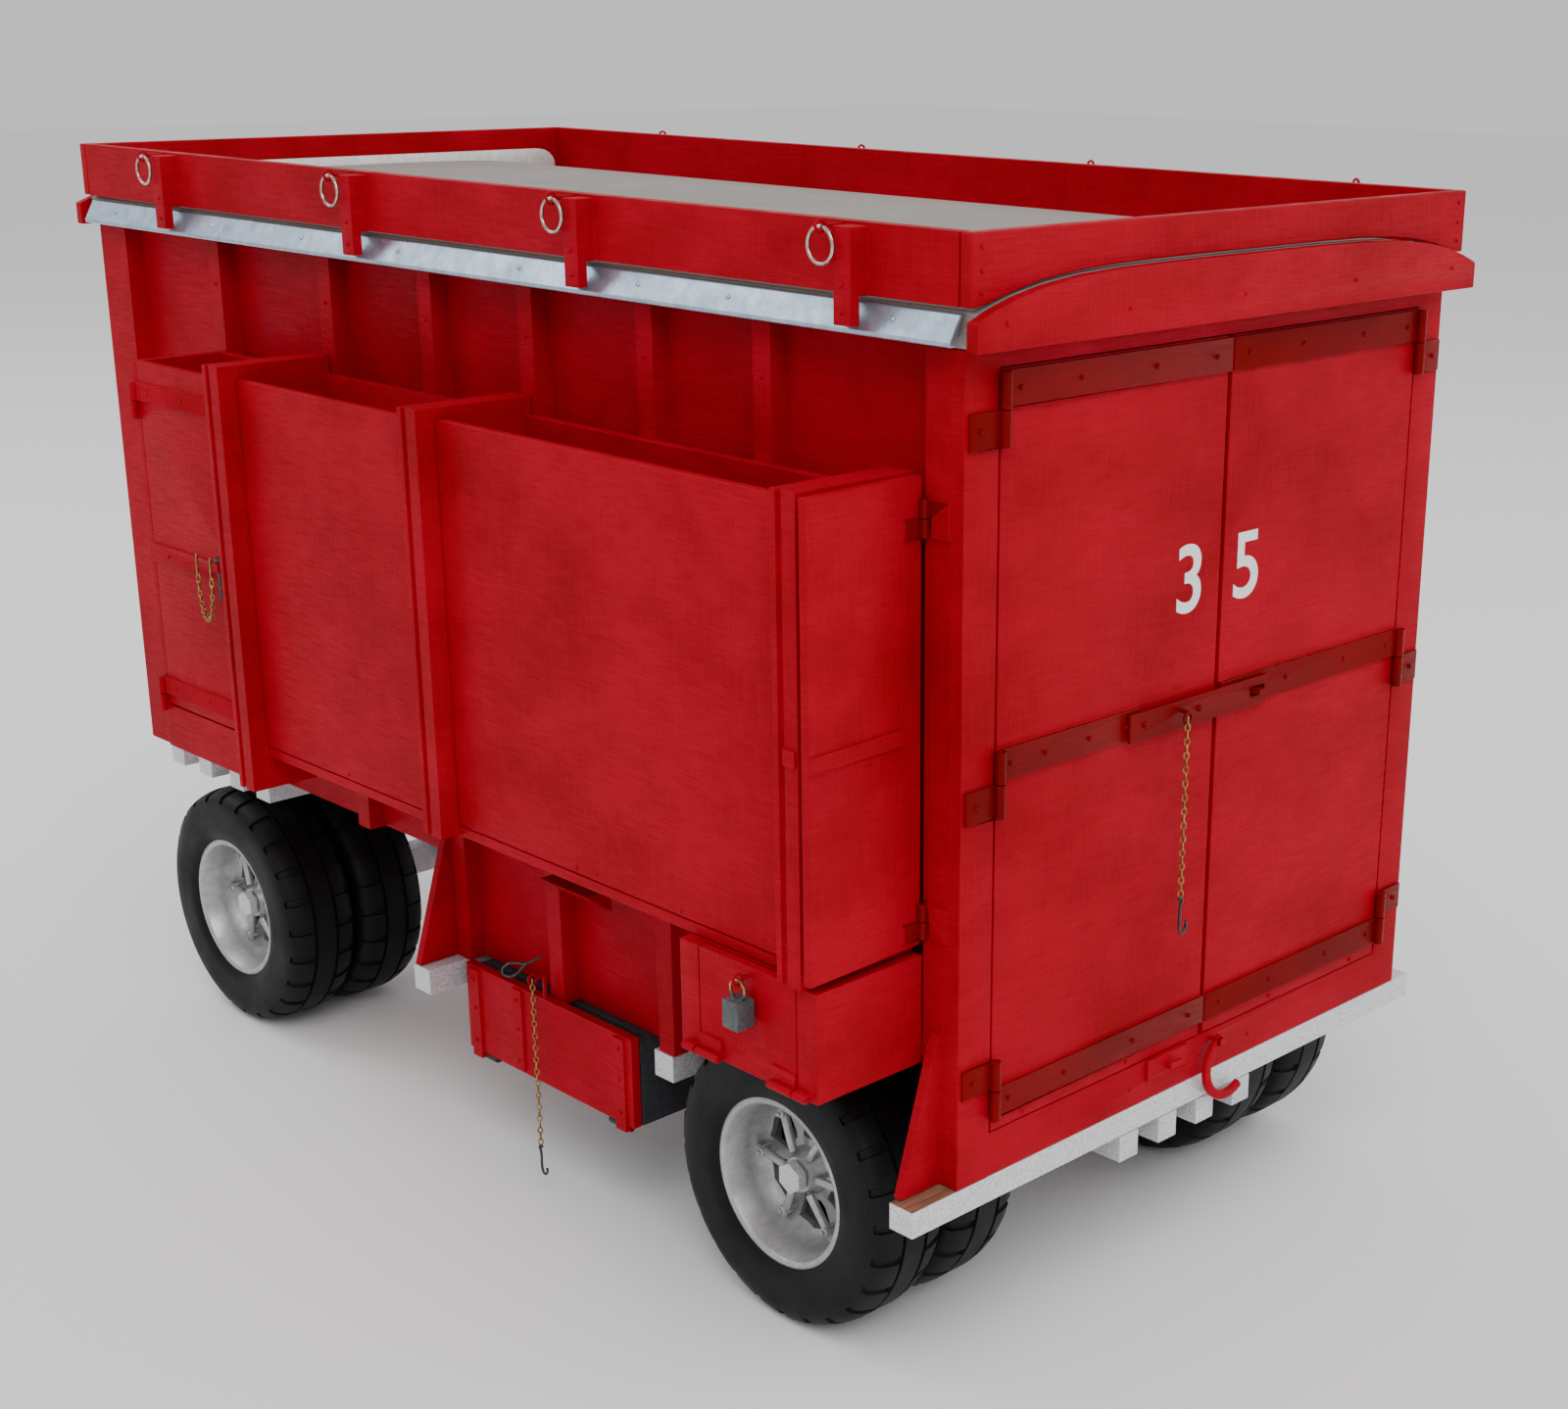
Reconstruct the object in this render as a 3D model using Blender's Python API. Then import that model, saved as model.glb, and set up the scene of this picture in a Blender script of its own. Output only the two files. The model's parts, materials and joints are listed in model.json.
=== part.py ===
"""A model box wagon with load racks, in metres: +Z up, the doors at -Y, the racks at -X."""

import math

import bmesh
import bpy
from mathutils import Matrix, Vector

# Clearances
GAP = 0.0003            # between pieces that rest on or butt against each other
HINGE_PLAY = 0.0006     # beside a door's hinged edge

# Body: X is measured from the middle, Y from the door end, Z from the underside of the low floor
BODY_WIDTH = 0.200
BODY_LENGTH = 0.423
WALL_HEIGHT = 0.219
DECK_HEIGHT = 0.031     # underside of the floor over the wheels
BOARD = 0.003
STUD_PROUD = 0.006
STUD_WIDTH = 0.007
STUD_PLACES = (0.072, 0.1195, 0.173, 0.223, 0.278, 0.3455)
POST_WIDTH = 0.012
REAR_POST_DEPTH = 0.013
FRONT_POST_DEPTH = 0.018
BELLY_START = 0.112
BELLY_END = 0.230
WELL_WIDTH = 0.058      # from a side's outer face to a wheel well's inner side
RAIL_FRAME_DEPTH = 0.006

# Roof and the cornice boards at its ends
ROOF_CROWN = 0.2355
ROOF_EAVE = 0.2262
ROOF_POWER = 5
ROOF_SKIN = 0.0025
ROOF_STEPS = 18
ROOF_OVERHANG = 0.0043
CORNICE_BOARD = 0.0035
CORNICE_OVERHANG = 0.0042
DRIP_DROP = 0.0074
DRIP_FLARE = 0.0035
DRIP_SHEET = 0.0009

# Top rail, its stakes and tie rings
RAIL_BOARD = 0.0038
RAIL_OVERHANG = 0.0024
RAIL_BOTTOM = 0.2291
RAIL_TOP = 0.2463
STAKE_PLACES = (0.033, 0.139, 0.249, 0.3625)
STAKE_WIDTH = 0.006
STAKE_PROUD = 0.006
STAKE_BOTTOM = 0.2222
FLANGE_WIDTH = 0.0012
RING_RADIUS = 0.0045
RING_WIRE = 0.0005
EYE_RADIUS = 0.0016
EYE_WIRE = 0.0005
EYE_FROM_STAKE = 0.0062

# Rear doors
DOOR_BOARD = 0.004
DOOR_BOTTOM = 0.0130
DOOR_TOP = 0.2137
DOOR_SEAM = 0.0010      # the seam's middle, to the right of the body's middle
SEAM_WIDTH = 0.0016
STRAP_SHEET = 0.001
STRAP_SPANS = ((0.2043, 0.2133), (0.1103, 0.1188), (0.0170, 0.0255))
POST_LEAF_SPANS = ((0.1950, 0.2040), (0.1010, 0.1100), (0.0258, 0.0340))
HINGE_OUT = 0.0018
KNUCKLE_RADIUS = 0.0015
PIN_RADIUS = 0.0006
MIDDLE_STRAP_REACH = 0.055
HASP_SPAN = (-0.038, 0.0216)
HASP_HEIGHTS = (0.1098, 0.1178)
STAPLE_X = 0.017
STAPLE_WIDTH = 0.003
STAPLE_PLAY = 0.0017
STAPLE_OUT = 0.0042

# Chains: the links stand for steel and brass chain
LINK_WIDTH = 0.0022
LINK_SHEET = 0.0009
LINK_PITCH = 0.0024
DOOR_CHAIN_AT = (-0.0175, -0.0052, 0.1136)
DOOR_CHAIN_LINKS = 20
BELLY_CHAIN_Y = 0.1755
BELLY_CHAIN_LINKS = 22
HOOK_WIRE = 0.0005

# C hook that swings on the sill
C_HOOK_PIVOT = (0.0065, 0.0100)
C_HOOK_RADIUS = 0.0100
C_HOOK_WIDTH = 0.0027
C_HOOK_SHEET = 0.0018
C_HOOK_TURN = 185
C_HOOK_STEPS = 14
C_HOOK_PLAY = 0.0004
C_HOOK_BOLT = 0.0007

# Load rack on the left side
RACK_DEPTH = 0.039
PANEL_INSET = 0.006
RACK_TOP = 0.1885
PANEL_TOP = 0.1855
INNER_TOP = 0.1832
RACK_BOTTOM = 0.0636
BAY_BOTTOM = 0.0525
POST_PLACES = (0.2825, 0.1760, 0.0210)   # far, middle and near
RACK_POST = 0.009
GROOVE = 0.002
RACK_END = 0.344
BAY_DOOR_BOTTOM = 0.0680
SMALL_KNUCKLE = 0.0012
SMALL_SHEET = 0.0008
BAY_STRAP_HEIGHTS = (0.1735, 0.1205, 0.0745)
BAY_STRAP_WIDTH = 0.006
END_DOOR_BOARD = 0.0026
END_DOOR_REACH = 0.0405
END_DOOR_AJAR = 3.0     # degrees
END_DOOR_BOTTOM = 0.0665
END_DOOR_TOP = 0.1880
END_HINGE_SPANS = ((0.0685, 0.0780), (0.1730, 0.1825))
END_STRAP_SPAN = (0.1215, 0.1258)

# Locker below the rack's near end
LOCKER_DEPTH = 0.037
LOCKER_SPAN = (0.0130, 0.0660)
LOCKER_BOTTOM = 0.0330
LOCKER_STRIP = 0.0075
LOCKER_HINGES = ((0.0250), (0.0520))
LOCKER_HINGE_LENGTH = 0.009
PADLOCK_BODY = (0.006, 0.006, 0.007)
PADLOCK_Y = 0.038

# Tool box below the belly, closed by a drop board
TOOL_BOX_SPAN = (0.1320, 0.2170)
TOOL_BOX_WIDTH = 0.057
TOOL_BOX_BOTTOM = -0.0280
DROP_BOARD_TOP = 0.0015
DROP_STRAP_PLACES = (0.1375, 0.1890, 0.2120)
DROP_STRAP_WIDTH = 0.005

# Underframe
BAR_WIDTH = 0.0086
BAR_HEIGHT = 0.0077
BAR_LEFT = 0.0162
BAR_RIGHT = 0.0094
GUSSET_FOOT = 0.0140
GUSSET_HEIGHT = 0.0430
GUSSET_BOARD = 0.003
CHASSIS_RAIL = 0.008
CHASSIS_PITCH = 0.0172
CHASSIS_OFFSET = -0.0035
CROSS_BEAMS = ((0.1170, 0.0), (0.2225, 0.0140))   # each one's near side, and its reach past the left side
JOIST_PLACES = (0.3445, 0.3625, 0.3845, 0.4045)
JOIST_WIDTH = 0.009
JOIST_HEIGHT = 0.0065

# Running gear
WHEEL_RADIUS = 0.044
WHEEL_Z = -0.0218
REAR_WHEEL_Y = 0.0671
FRONT_WHEEL_Y = 0.3665
TYRE_WIDTH = 0.027
TYRE_GAP = 0.002
TYRE_PAST_BODY = 0.005  # how far the outermost sidewall stands out past the body
RIM_RADIUS = 0.0256
RIM_WIDTH = 0.021
RIM_WALL = 0.0022
RIM_DISH = 0.009
HUB_RADIUS = 0.007
AXLE_RADIUS = 0.003
AXLE_PLAY = 0.0003
NUT_RADIUS = 0.0048
NUT_LENGTH = 0.003
WHEEL_STEPS = 32
RIM_STEPS = 16
SPOKES = 6
BOLSTER = 0.010
TURNTABLE_RADIUS = 0.028
TURNTABLE_SPLIT = 0.012
KINGPIN_RADIUS = 0.003
TONGUE_Y = 0.018        # the tongue's hinge, ahead of the front axle
TONGUE_LENGTH = 0.030

RED = (0.43, 0.008, 0.014)
STRAP_RED = (0.20, 0.02, 0.02)
SILVER = (0.55, 0.56, 0.58)
GALVANISED = (0.50, 0.54, 0.57)
ROOF_GREY = (0.36, 0.35, 0.32)
BRASS = (0.45, 0.28, 0.10)
WIRE = (0.42, 0.27, 0.20)
DARK_STEEL = (0.07, 0.08, 0.08)
SLATE = (0.05, 0.06, 0.07)
RUBBER = (0.012, 0.012, 0.013)

HALF = BODY_WIDTH / 2
TYRE_FACE = HALF + TYRE_PAST_BODY
WALL_OUT = HALF - STUD_PROUD
WALL_IN = WALL_OUT - BOARD
OPENING = HALF - POST_WIDTH
HINGE_X = OPENING - HINGE_PLAY + 0.0002
WELL_IN = HALF - WELL_WIDTH
AXLE_TOP = -BAR_HEIGHT - 2 * GAP - CHASSIS_RAIL


def clear_scene():
    for old in list(bpy.data.objects):
        bpy.data.objects.remove(old)


def block(x, y, z):
    """A box between pairs of X, Y and Z values."""
    mesh = bmesh.new()
    bmesh.ops.create_cube(mesh, size=1.0)
    size = Matrix.Diagonal((abs(x[1] - x[0]), abs(y[1] - y[0]), abs(z[1] - z[0]), 1.0))
    middle = Vector((sum(x) / 2, sum(y) / 2, sum(z) / 2))
    mesh.transform(Matrix.Translation(middle) @ size)
    return mesh


def prism(outline, axis, span):
    """An outline in the plane square to an axis, filled and extruded over a span of it."""
    place = {
        "X": lambda a, b: (span[0], a, b),
        "Y": lambda a, b: (a, span[0], b),
        "Z": lambda a, b: (a, b, span[0]),
    }[axis]
    mesh = bmesh.new()
    face = mesh.faces.new([mesh.verts.new(place(a, b)) for a, b in outline])
    swept = bmesh.ops.extrude_face_region(mesh, geom=[face])
    moved = [item for item in swept["geom"] if isinstance(item, bmesh.types.BMVert)]
    shift = Vector([(span[1] - span[0]) if axis == name else 0.0 for name in "XYZ"])
    bmesh.ops.translate(mesh, verts=moved, vec=shift)
    bmesh.ops.recalc_face_normals(mesh, faces=mesh.faces)
    return mesh


def rod(axis, centre, radius, span, sides=12):
    """A bar along an axis; centre holds its other two coordinates in X, Y, Z order."""
    turns = [2 * math.pi * (step + 0.5) / sides for step in range(sides)]
    outline = [(centre[0] + radius * math.cos(t), centre[1] + radius * math.sin(t)) for t in turns]
    return prism(outline, axis, span)


def spun(profile, centre, axis, steps, start=0.0):
    """A closed profile of (along, out) points spun once round an axis through the centre."""
    along = Vector([1.0 if axis == name else 0.0 for name in "XYZ"])
    out = Vector((0, 0, 1)) if axis != "Z" else Vector((1, 0, 0))
    out = Matrix.Rotation(start, 3, along) @ out
    mesh = bmesh.new()
    points = [Vector(centre) + along * a + out * r for a, r in profile]
    verts = [mesh.verts.new(point) for point in points]
    edges = [mesh.edges.new((v, w)) for v, w in zip(verts, verts[1:] + verts[:1])]
    bmesh.ops.spin(mesh, geom=verts + edges, cent=centre, axis=along, angle=2 * math.pi,
                   steps=steps, use_merge=True)
    bmesh.ops.recalc_face_normals(mesh, faces=mesh.faces)
    return mesh


def ring(axis, centre, radius, wire, steps, sides=6):
    """A wire ring whose hole runs along the axis."""
    turns = [2 * math.pi * (side + 0.5) / sides for side in range(sides)]
    profile = [(wire * math.sin(t), radius + wire * math.cos(t)) for t in turns]
    return spun(profile, centre, axis, steps)


def surface(name, colour, metallic, roughness):
    material = bpy.data.materials.new(name)
    material.use_nodes = True
    shader = material.node_tree.nodes["Principled BSDF"]
    shader.inputs["Base Color"].default_value = (*colour, 1.0)
    shader.inputs["Metallic"].default_value = metallic
    shader.inputs["Roughness"].default_value = roughness
    return material


FINISHES = {
    "red": (RED, 0.0, 0.45),
    "strap": (STRAP_RED, 0.3, 0.45),
    "silver": (SILVER, 0.6, 0.5),
    "galvanised": (GALVANISED, 0.9, 0.35),
    "grey": (ROOF_GREY, 0.1, 0.6),
    "brass": (BRASS, 0.9, 0.4),
    "wire": (WIRE, 0.9, 0.4),
    "steel": (DARK_STEEL, 0.7, 0.5),
    "slate": (SLATE, 0.0, 0.6),
    "rubber": (RUBBER, 0.0, 0.7),
}
PIVOTS = {}


def place(name, mesh, pivot):
    """An object whose origin is the pivot, from a mesh in the wagon's coordinates."""
    mesh.transform(Matrix.Translation(-Vector(pivot)))
    data = bpy.data.meshes.new(name)
    mesh.to_mesh(data)
    mesh.free()
    return bpy.data.objects.new(name, data)


def attach(obj, pivot, parent):
    obj.parent = parent
    obj.location = Vector(pivot) - Vector(PIVOTS[parent.name])
    PIVOTS[obj.name] = tuple(pivot)


def helpers(obj, meshes, operation, pivot, parent):
    """Hidden shapes that a Boolean adds to the object or cuts from it."""
    group = bpy.data.collections.new(f"{obj.name}_{operation.lower()}")
    bpy.context.scene.collection.children.link(group)
    group.hide_render = True
    for number, mesh in enumerate(meshes):
        helper = place(f"{obj.name}_{operation.lower()}_{number}", mesh, pivot)
        group.objects.link(helper)
        attach(helper, pivot, parent)
        helper.hide_render = True
        helper.display_type = "WIRE"
    boolean = obj.modifiers.new(operation.title(), "BOOLEAN")
    boolean.operation = operation
    boolean.solver = "EXACT"
    boolean.operand_type = "COLLECTION"
    boolean.collection = group


def part(name, finish, meshes, pivot=(0, 0, 0), parent=None, cuts=(), smooth=False):
    """One piece: its first mesh, with the other meshes joined on and the cuts taken away."""
    parent = parent or bpy.data.objects["wagon"]
    obj = place(name, meshes[0], pivot)
    bpy.context.scene.collection.objects.link(obj)
    attach(obj, pivot, parent)
    if len(meshes) > 1:
        helpers(obj, meshes[1:], "UNION", pivot, parent)
    if cuts:
        helpers(obj, cuts, "DIFFERENCE", pivot, parent)
    if finish not in bpy.data.materials:
        surface(finish, *FINISHES[finish])
    obj.data.materials.append(bpy.data.materials[finish])
    if smooth:
        obj.data.shade_smooth()
        obj.data.set_sharp_from_angle(angle=math.radians(35))
    return obj


def roof_height(x):
    """The roof's top surface, nearly flat in the middle and rounded down at the eaves."""
    across = min(abs(x) / (HALF + CORNICE_OVERHANG), 1.0)
    return ROOF_CROWN - (ROOF_CROWN - ROOF_EAVE) * across ** ROOF_POWER


def arch(reach, lift, steps=ROOF_STEPS):
    """Points along the roof's line from one side to the other, closer together near the eaves."""
    spots = [math.sin(math.pi * (step / steps - 0.5)) * reach for step in range(steps + 1)]
    return [(x, roof_height(x) + lift) for x in spots]


# Body

def wall_foot(y):
    """How low a side wall reaches at a place along the body."""
    return 0.0 if BELLY_START < y < BELLY_END else DECK_HEIGHT


def side_wall(name, side):
    start = REAR_POST_DEPTH + GAP
    outline = [
        (start, DECK_HEIGHT), (BELLY_START, DECK_HEIGHT), (BELLY_START, 0), (BELLY_END, 0),
        (BELLY_END, DECK_HEIGHT), (BODY_LENGTH, DECK_HEIGHT), (BODY_LENGTH, WALL_HEIGHT),
        (start, WALL_HEIGHT),
    ]
    meshes = [prism(outline, "X", (side * WALL_IN, side * WALL_OUT))]
    face = (side * (WALL_OUT - BOARD / 2), side * HALF)
    for y in STUD_PLACES:
        stud = (y - STUD_WIDTH / 2, y + STUD_WIDTH / 2)
        meshes.append(block(face, stud, (wall_foot(y), WALL_HEIGHT)))
    corner = (BODY_LENGTH - FRONT_POST_DEPTH, BODY_LENGTH)
    meshes.append(block(face, corner, (DECK_HEIGHT, WALL_HEIGHT)))
    if side < 0:
        foot = CROSS_BEAMS[1][0] + BAR_WIDTH - GUSSET_BOARD - 0.001
        meshes.append(gusset(foot, WALL_OUT))
    part(name, "red", meshes)


def gusset(y, root):
    """A three-cornered board that braces the left side down to the end of a cross beam."""
    inside = -root + 0.0005
    outline = [(inside, 0), (-HALF - GUSSET_FOOT, 0), (-HALF - 0.001, GUSSET_HEIGHT),
               (inside, GUSSET_HEIGHT)]
    return prism(outline, "Y", (y, y + GUSSET_BOARD))


def front_wall():
    reach = WALL_IN - GAP
    back = BODY_LENGTH - STUD_PROUD
    meshes = [block((-reach, reach), (back - BOARD, back), (DECK_HEIGHT + BOARD + GAP, WALL_HEIGHT))]
    inner = WALL_OUT - BOARD / 2 - BOARD
    for place_x in (-0.75, -0.25, 0.25, 0.75):
        x = place_x * inner
        batten = (x - STUD_WIDTH / 2, x + STUD_WIDTH / 2)
        meshes.append(block(batten, (back - BOARD / 2, BODY_LENGTH), (DECK_HEIGHT + BOARD + GAP, WALL_HEIGHT)))
    part("front_wall", "red", meshes)


def floor():
    reach = WALL_IN - GAP
    low = (GAP, GAP + BOARD)
    high = (DECK_HEIGHT, DECK_HEIGHT + BOARD)
    full = (GAP, DECK_HEIGHT + BOARD)
    back = RAIL_FRAME_DEPTH + GAP
    front = BODY_LENGTH - STUD_PROUD - BOARD - GAP
    aisle = WELL_IN
    corner = REAR_POST_DEPTH + GAP
    meshes = [
        block((-aisle, aisle), (back, BELLY_START), low),
        block((-reach, reach), (BELLY_START - BOARD, BELLY_END), low),
        block((-reach, reach), (BELLY_END - BOARD, BELLY_END), full),
        block((-reach, reach), (BELLY_END - BOARD, front), high),
    ]
    for side in (-1, 1):
        well = (side * (aisle - BOARD), side * reach)
        meshes.append(block((side * (aisle - BOARD), side * aisle), (back, BELLY_START), full))
        meshes.append(block(well, (corner, BELLY_START), high))
        meshes.append(block(well, (BELLY_START - BOARD, BELLY_START), full))
        inner = (side * (aisle - BOARD), side * (OPENING - GAP))
        meshes.append(block(inner, (back, back + BOARD), full))
        meshes.append(block(inner, (back, corner + BOARD), high))
    part("floor", "red", meshes)


def rear_frame():
    """Posts, header and sill round the door opening, with the fixed hinge leaves and fittings."""
    depth = (0.0, RAIL_FRAME_DEPTH)
    across = (-OPENING - 0.001, OPENING + 0.001)
    meshes = [block(across, depth, (0, DOOR_BOTTOM - GAP))]
    meshes.append(block(across, depth, (DOOR_TOP + GAP, WALL_HEIGHT)))
    for side in (-1, 1):
        post = (side * OPENING, side * HALF)
        meshes.append(block(post, (0, REAR_POST_DEPTH), (0, WALL_HEIGHT)))
        for low, high in POST_LEAF_SPANS:
            leaf = (side * (HINGE_X + 0.0010), side * (HALF - 0.001))
            meshes.append(block(leaf, (-STRAP_SHEET, 0.0005), (low, high)))
            centre = (side * HINGE_X, -HINGE_OUT)
            meshes.append(rod("Z", centre, KNUCKLE_RADIUS, (low, high), 10))
    for (low, high), (strap_low, strap_high) in zip(POST_LEAF_SPANS, STRAP_SPANS):
        span = (high - 0.001, strap_high) if low < strap_low else (strap_low, low + 0.001)
        for side in (-1, 1):
            meshes.append(rod("Z", (side * HINGE_X, -HINGE_OUT), PIN_RADIUS, span, 6))
    for low, high in END_HINGE_SPANS:
        middle = (low + high) / 2
        knuckle_y = end_hinge()[1]
        leaf_end = knuckle_y - SMALL_KNUCKLE - GAP
        meshes.append(block((-HALF - SMALL_SHEET, -HALF + 0.0005), (0.0040, leaf_end), (low, high)))
        upper = (middle + GAP / 2, high)
        meshes.append(block((-HALF - SMALL_SHEET, -HALF + 0.0005), (leaf_end - 0.0005, knuckle_y), upper))
        meshes.append(rod("Z", end_hinge(), SMALL_KNUCKLE, (middle + GAP / 2, high), 8))
    meshes.append(gusset(BAR_WIDTH - GUSSET_BOARD + 0.0008, HALF))
    meshes.extend(sill_fittings())
    part("rear_frame", "red", meshes)


def end_hinge():
    """Where the rack's end door turns: X and Y of its hinge pins."""
    return (-HALF - SMALL_KNUCKLE - GAP, REAR_POST_DEPTH - 0.0014)


def sill_fittings():
    """The latch plate with its loop, and the bolt that the C hook swings on."""
    x, z = C_HOOK_PIVOT
    head = -STRAP_SHEET - 2 * GAP - C_HOOK_SHEET - GAP
    return [
        block((-0.0235, -0.0060), (-STRAP_SHEET, 0.0005), (0.0060, 0.0124)),
        block((-0.0160, -0.0145), (-0.0034, 0.0), (0.0082, 0.0102)),
        block((-0.0160, -0.0110), (-0.0034, -0.0024), (0.0082, 0.0102)),
        rod("Y", (x, z), C_HOOK_BOLT, (head - 0.0008, 0.001), 8),
        rod("Y", (x, z), 2 * C_HOOK_BOLT, (head - 0.0008, head), 8),
    ]


def cornice(name, front, back):
    reach = HALF + CORNICE_OVERHANG
    outline = arch(reach, 0.0) + [(reach, WALL_HEIGHT), (-reach, WALL_HEIGHT)]
    part(name, "red", [prism(outline, "Y", (front, back))])


def roof():
    edge = HALF
    inside = WALL_IN
    under = WALL_HEIGHT + GAP
    outline = arch(edge, 0.0) + [(edge, under), (inside, under)]
    outline += [(x, z) for x, z in reversed(arch(inside, -ROOF_SKIN))] + [(-inside, under), (-edge, under)]
    part("roof", "grey", [prism(outline, "Y", (-ROOF_OVERHANG + GAP, BODY_LENGTH + ROOF_OVERHANG - GAP))],
         smooth=True)


def drip_strip(name, side):
    """A sheet-metal strip under the eave that leans outwards towards its lower edge."""
    top = ROOF_EAVE + 0.0012
    start = HALF + 0.0008
    end = start + DRIP_FLARE
    low = top - DRIP_DROP
    outline = [
        (side * start, top), (side * (start + DRIP_SHEET), top),
        (side * (end + DRIP_SHEET), low + 0.0012), (side * (end + DRIP_SHEET), low),
        (side * (end - DRIP_SHEET), low), (side * (end - DRIP_SHEET), low + 0.0006),
    ]
    part(name, "galvanised", [prism(outline, "Y", (0.0, BODY_LENGTH))])


# Top rail

def ring_centre(side, y):
    """The eye that a tie ring hangs in, beside its stake."""
    x = side * (HALF + RAIL_OVERHANG + STAKE_PROUD + RING_WIRE + 0.0006)
    return (x, y + EYE_FROM_STAKE, RAIL_TOP - 0.0011)


def side_rail(name, side):
    outer = side * (HALF + RAIL_OVERHANG)
    inner = side * (HALF + RAIL_OVERHANG - RAIL_BOARD)
    meshes = [block((inner, outer), (GAP - 0.0002, BODY_LENGTH), (RAIL_BOTTOM, RAIL_TOP))]
    root = side * (HALF + RAIL_OVERHANG - 0.0005)
    for y in STAKE_PLACES:
        face = side * (HALF + RAIL_OVERHANG + STAKE_PROUD)
        stake = (y - STAKE_WIDTH / 2, y + STAKE_WIDTH / 2)
        back = side * (HALF + RAIL_OVERHANG + STAKE_PROUD / 2)
        meshes.append(block((root, face), stake, (RAIL_BOTTOM, RAIL_TOP - 0.0008)))
        meshes.append(block((back, face), stake, (STAKE_BOTTOM, RAIL_TOP - 0.0010)))
        flange = (stake[1] - 0.0005, stake[1] + FLANGE_WIDTH)
        meshes.append(block((root, back), flange, (RAIL_BOTTOM + 0.0005, RAIL_TOP - 0.0014)))
        x, eye_y, z = ring_centre(side, y)
        stem = (x - side * EYE_RADIUS, root)
        meshes.append(block(stem, (eye_y - EYE_WIRE, eye_y + EYE_WIRE), (z - EYE_WIRE, z + EYE_WIRE)))
        meshes.append(ring("Y", (x, eye_y, z), EYE_RADIUS, EYE_WIRE, 8, 4))
    part(name, "red", meshes)


def end_rail(name, front, back):
    """A board across the end whose lower edge clears the roof."""
    reach = HALF + RAIL_OVERHANG
    lower = [(x, max(z, RAIL_BOTTOM)) for x, z in arch(reach, 2 * GAP)]
    part(name, "red", [prism(lower + [(reach, RAIL_TOP), (-reach, RAIL_TOP)], "Y", (front, back))])


def tie_rings():
    number = 0
    for side in (-1, 1):
        for y in STAKE_PLACES:
            number += 1
            x, eye_y, z = ring_centre(side, y)
            hoop = ring("X", (x, eye_y, z - RING_RADIUS), RING_RADIUS, RING_WIRE, 16, 5)
            part(f"tie_ring_{number}", "wire", [hoop], pivot=(x, eye_y, z), smooth=True)


# Doors

def door(name, side):
    """One leaf of the rear door with its three straps and their hinge knuckles."""
    edge = side * (OPENING - HINGE_PLAY)
    seam = DOOR_SEAM + side * SEAM_WIDTH / 2
    pivot = (side * HINGE_X, -HINGE_OUT, (DOOR_BOTTOM + DOOR_TOP) / 2)
    meshes = [block((edge, seam), (0, DOOR_BOARD), (DOOR_BOTTOM, DOOR_TOP))]
    for number, (low, high) in enumerate(STRAP_SPANS):
        end = seam - side * 0.0005 * (number != 1)
        if number == 1 and side < 0:
            end = edge + MIDDLE_STRAP_REACH
        meshes.append(block((edge + side * 0.0002, end), (-STRAP_SHEET, 0.0005), (low, high)))
        knuckle = rod("Z", (side * HINGE_X, -HINGE_OUT), KNUCKLE_RADIUS, (low, high), 10)
        meshes.append(knuckle)
    if side > 0:
        half = STAPLE_WIDTH / 2
        z = sum(HASP_HEIGHTS) / 2
        meshes.append(block((STAPLE_X - half, STAPLE_X + half), (-STAPLE_OUT, 0.0), (z - 0.0008, z + 0.0008)))
    bores = [rod("Z", (side * HINGE_X, -HINGE_OUT), PIN_RADIUS + GAP, (low - 0.001, high + 0.001), 8)
             for low, high in STRAP_SPANS]
    return part(name, "red", meshes, pivot=pivot, cuts=bores)


def hasp(left_door):
    """A bar on the left leaf whose slot drops over the right leaf's staple."""
    face = -STRAP_SHEET - GAP
    bar = block(HASP_SPAN, (face - STRAP_SHEET, face), HASP_HEIGHTS)
    half = STAPLE_WIDTH / 2 + STAPLE_PLAY
    z = sum(HASP_HEIGHTS) / 2
    slot = block((STAPLE_X - half, STAPLE_X + half), (face - 0.003, face + 0.001), (z - 0.0014, z + 0.0014))
    x, y, height = DOOR_CHAIN_AT
    eye = ring("Y", (x, y, height), EYE_RADIUS, EYE_WIRE, 8, 4)
    stem = block((x - EYE_WIRE, x + EYE_WIRE), (y, face - STRAP_SHEET / 2),
                 (height + EYE_RADIUS - EYE_WIRE, height + EYE_RADIUS + EYE_WIRE))
    part("hasp", "strap", [bar, eye, stem], parent=left_door, cuts=[slot])


def chain(x, y, top, links):
    """A round link through an eye, then plates turned a quarter from one to the next."""
    meshes = [ring("X", (x, y, top - EYE_RADIUS), EYE_RADIUS, LINK_SHEET / 2, 8, 4)]
    for number in range(links):
        high = top - 2 * EYE_RADIUS + 0.0002 - number * LINK_PITCH
        low = high - LINK_PITCH - 0.0008
        wide, thin = LINK_WIDTH / 2, LINK_SHEET / 2
        along_x, along_y = (wide, thin) if number % 2 else (thin, wide)
        meshes.append(block((x - along_x, x + along_x), (y - along_y, y + along_y), (low, high)))
    return meshes


def chain_end(top, links):
    """The height at which the hook below a chain starts."""
    return top - 2 * EYE_RADIUS - 0.0006 - links * LINK_PITCH - GAP


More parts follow.
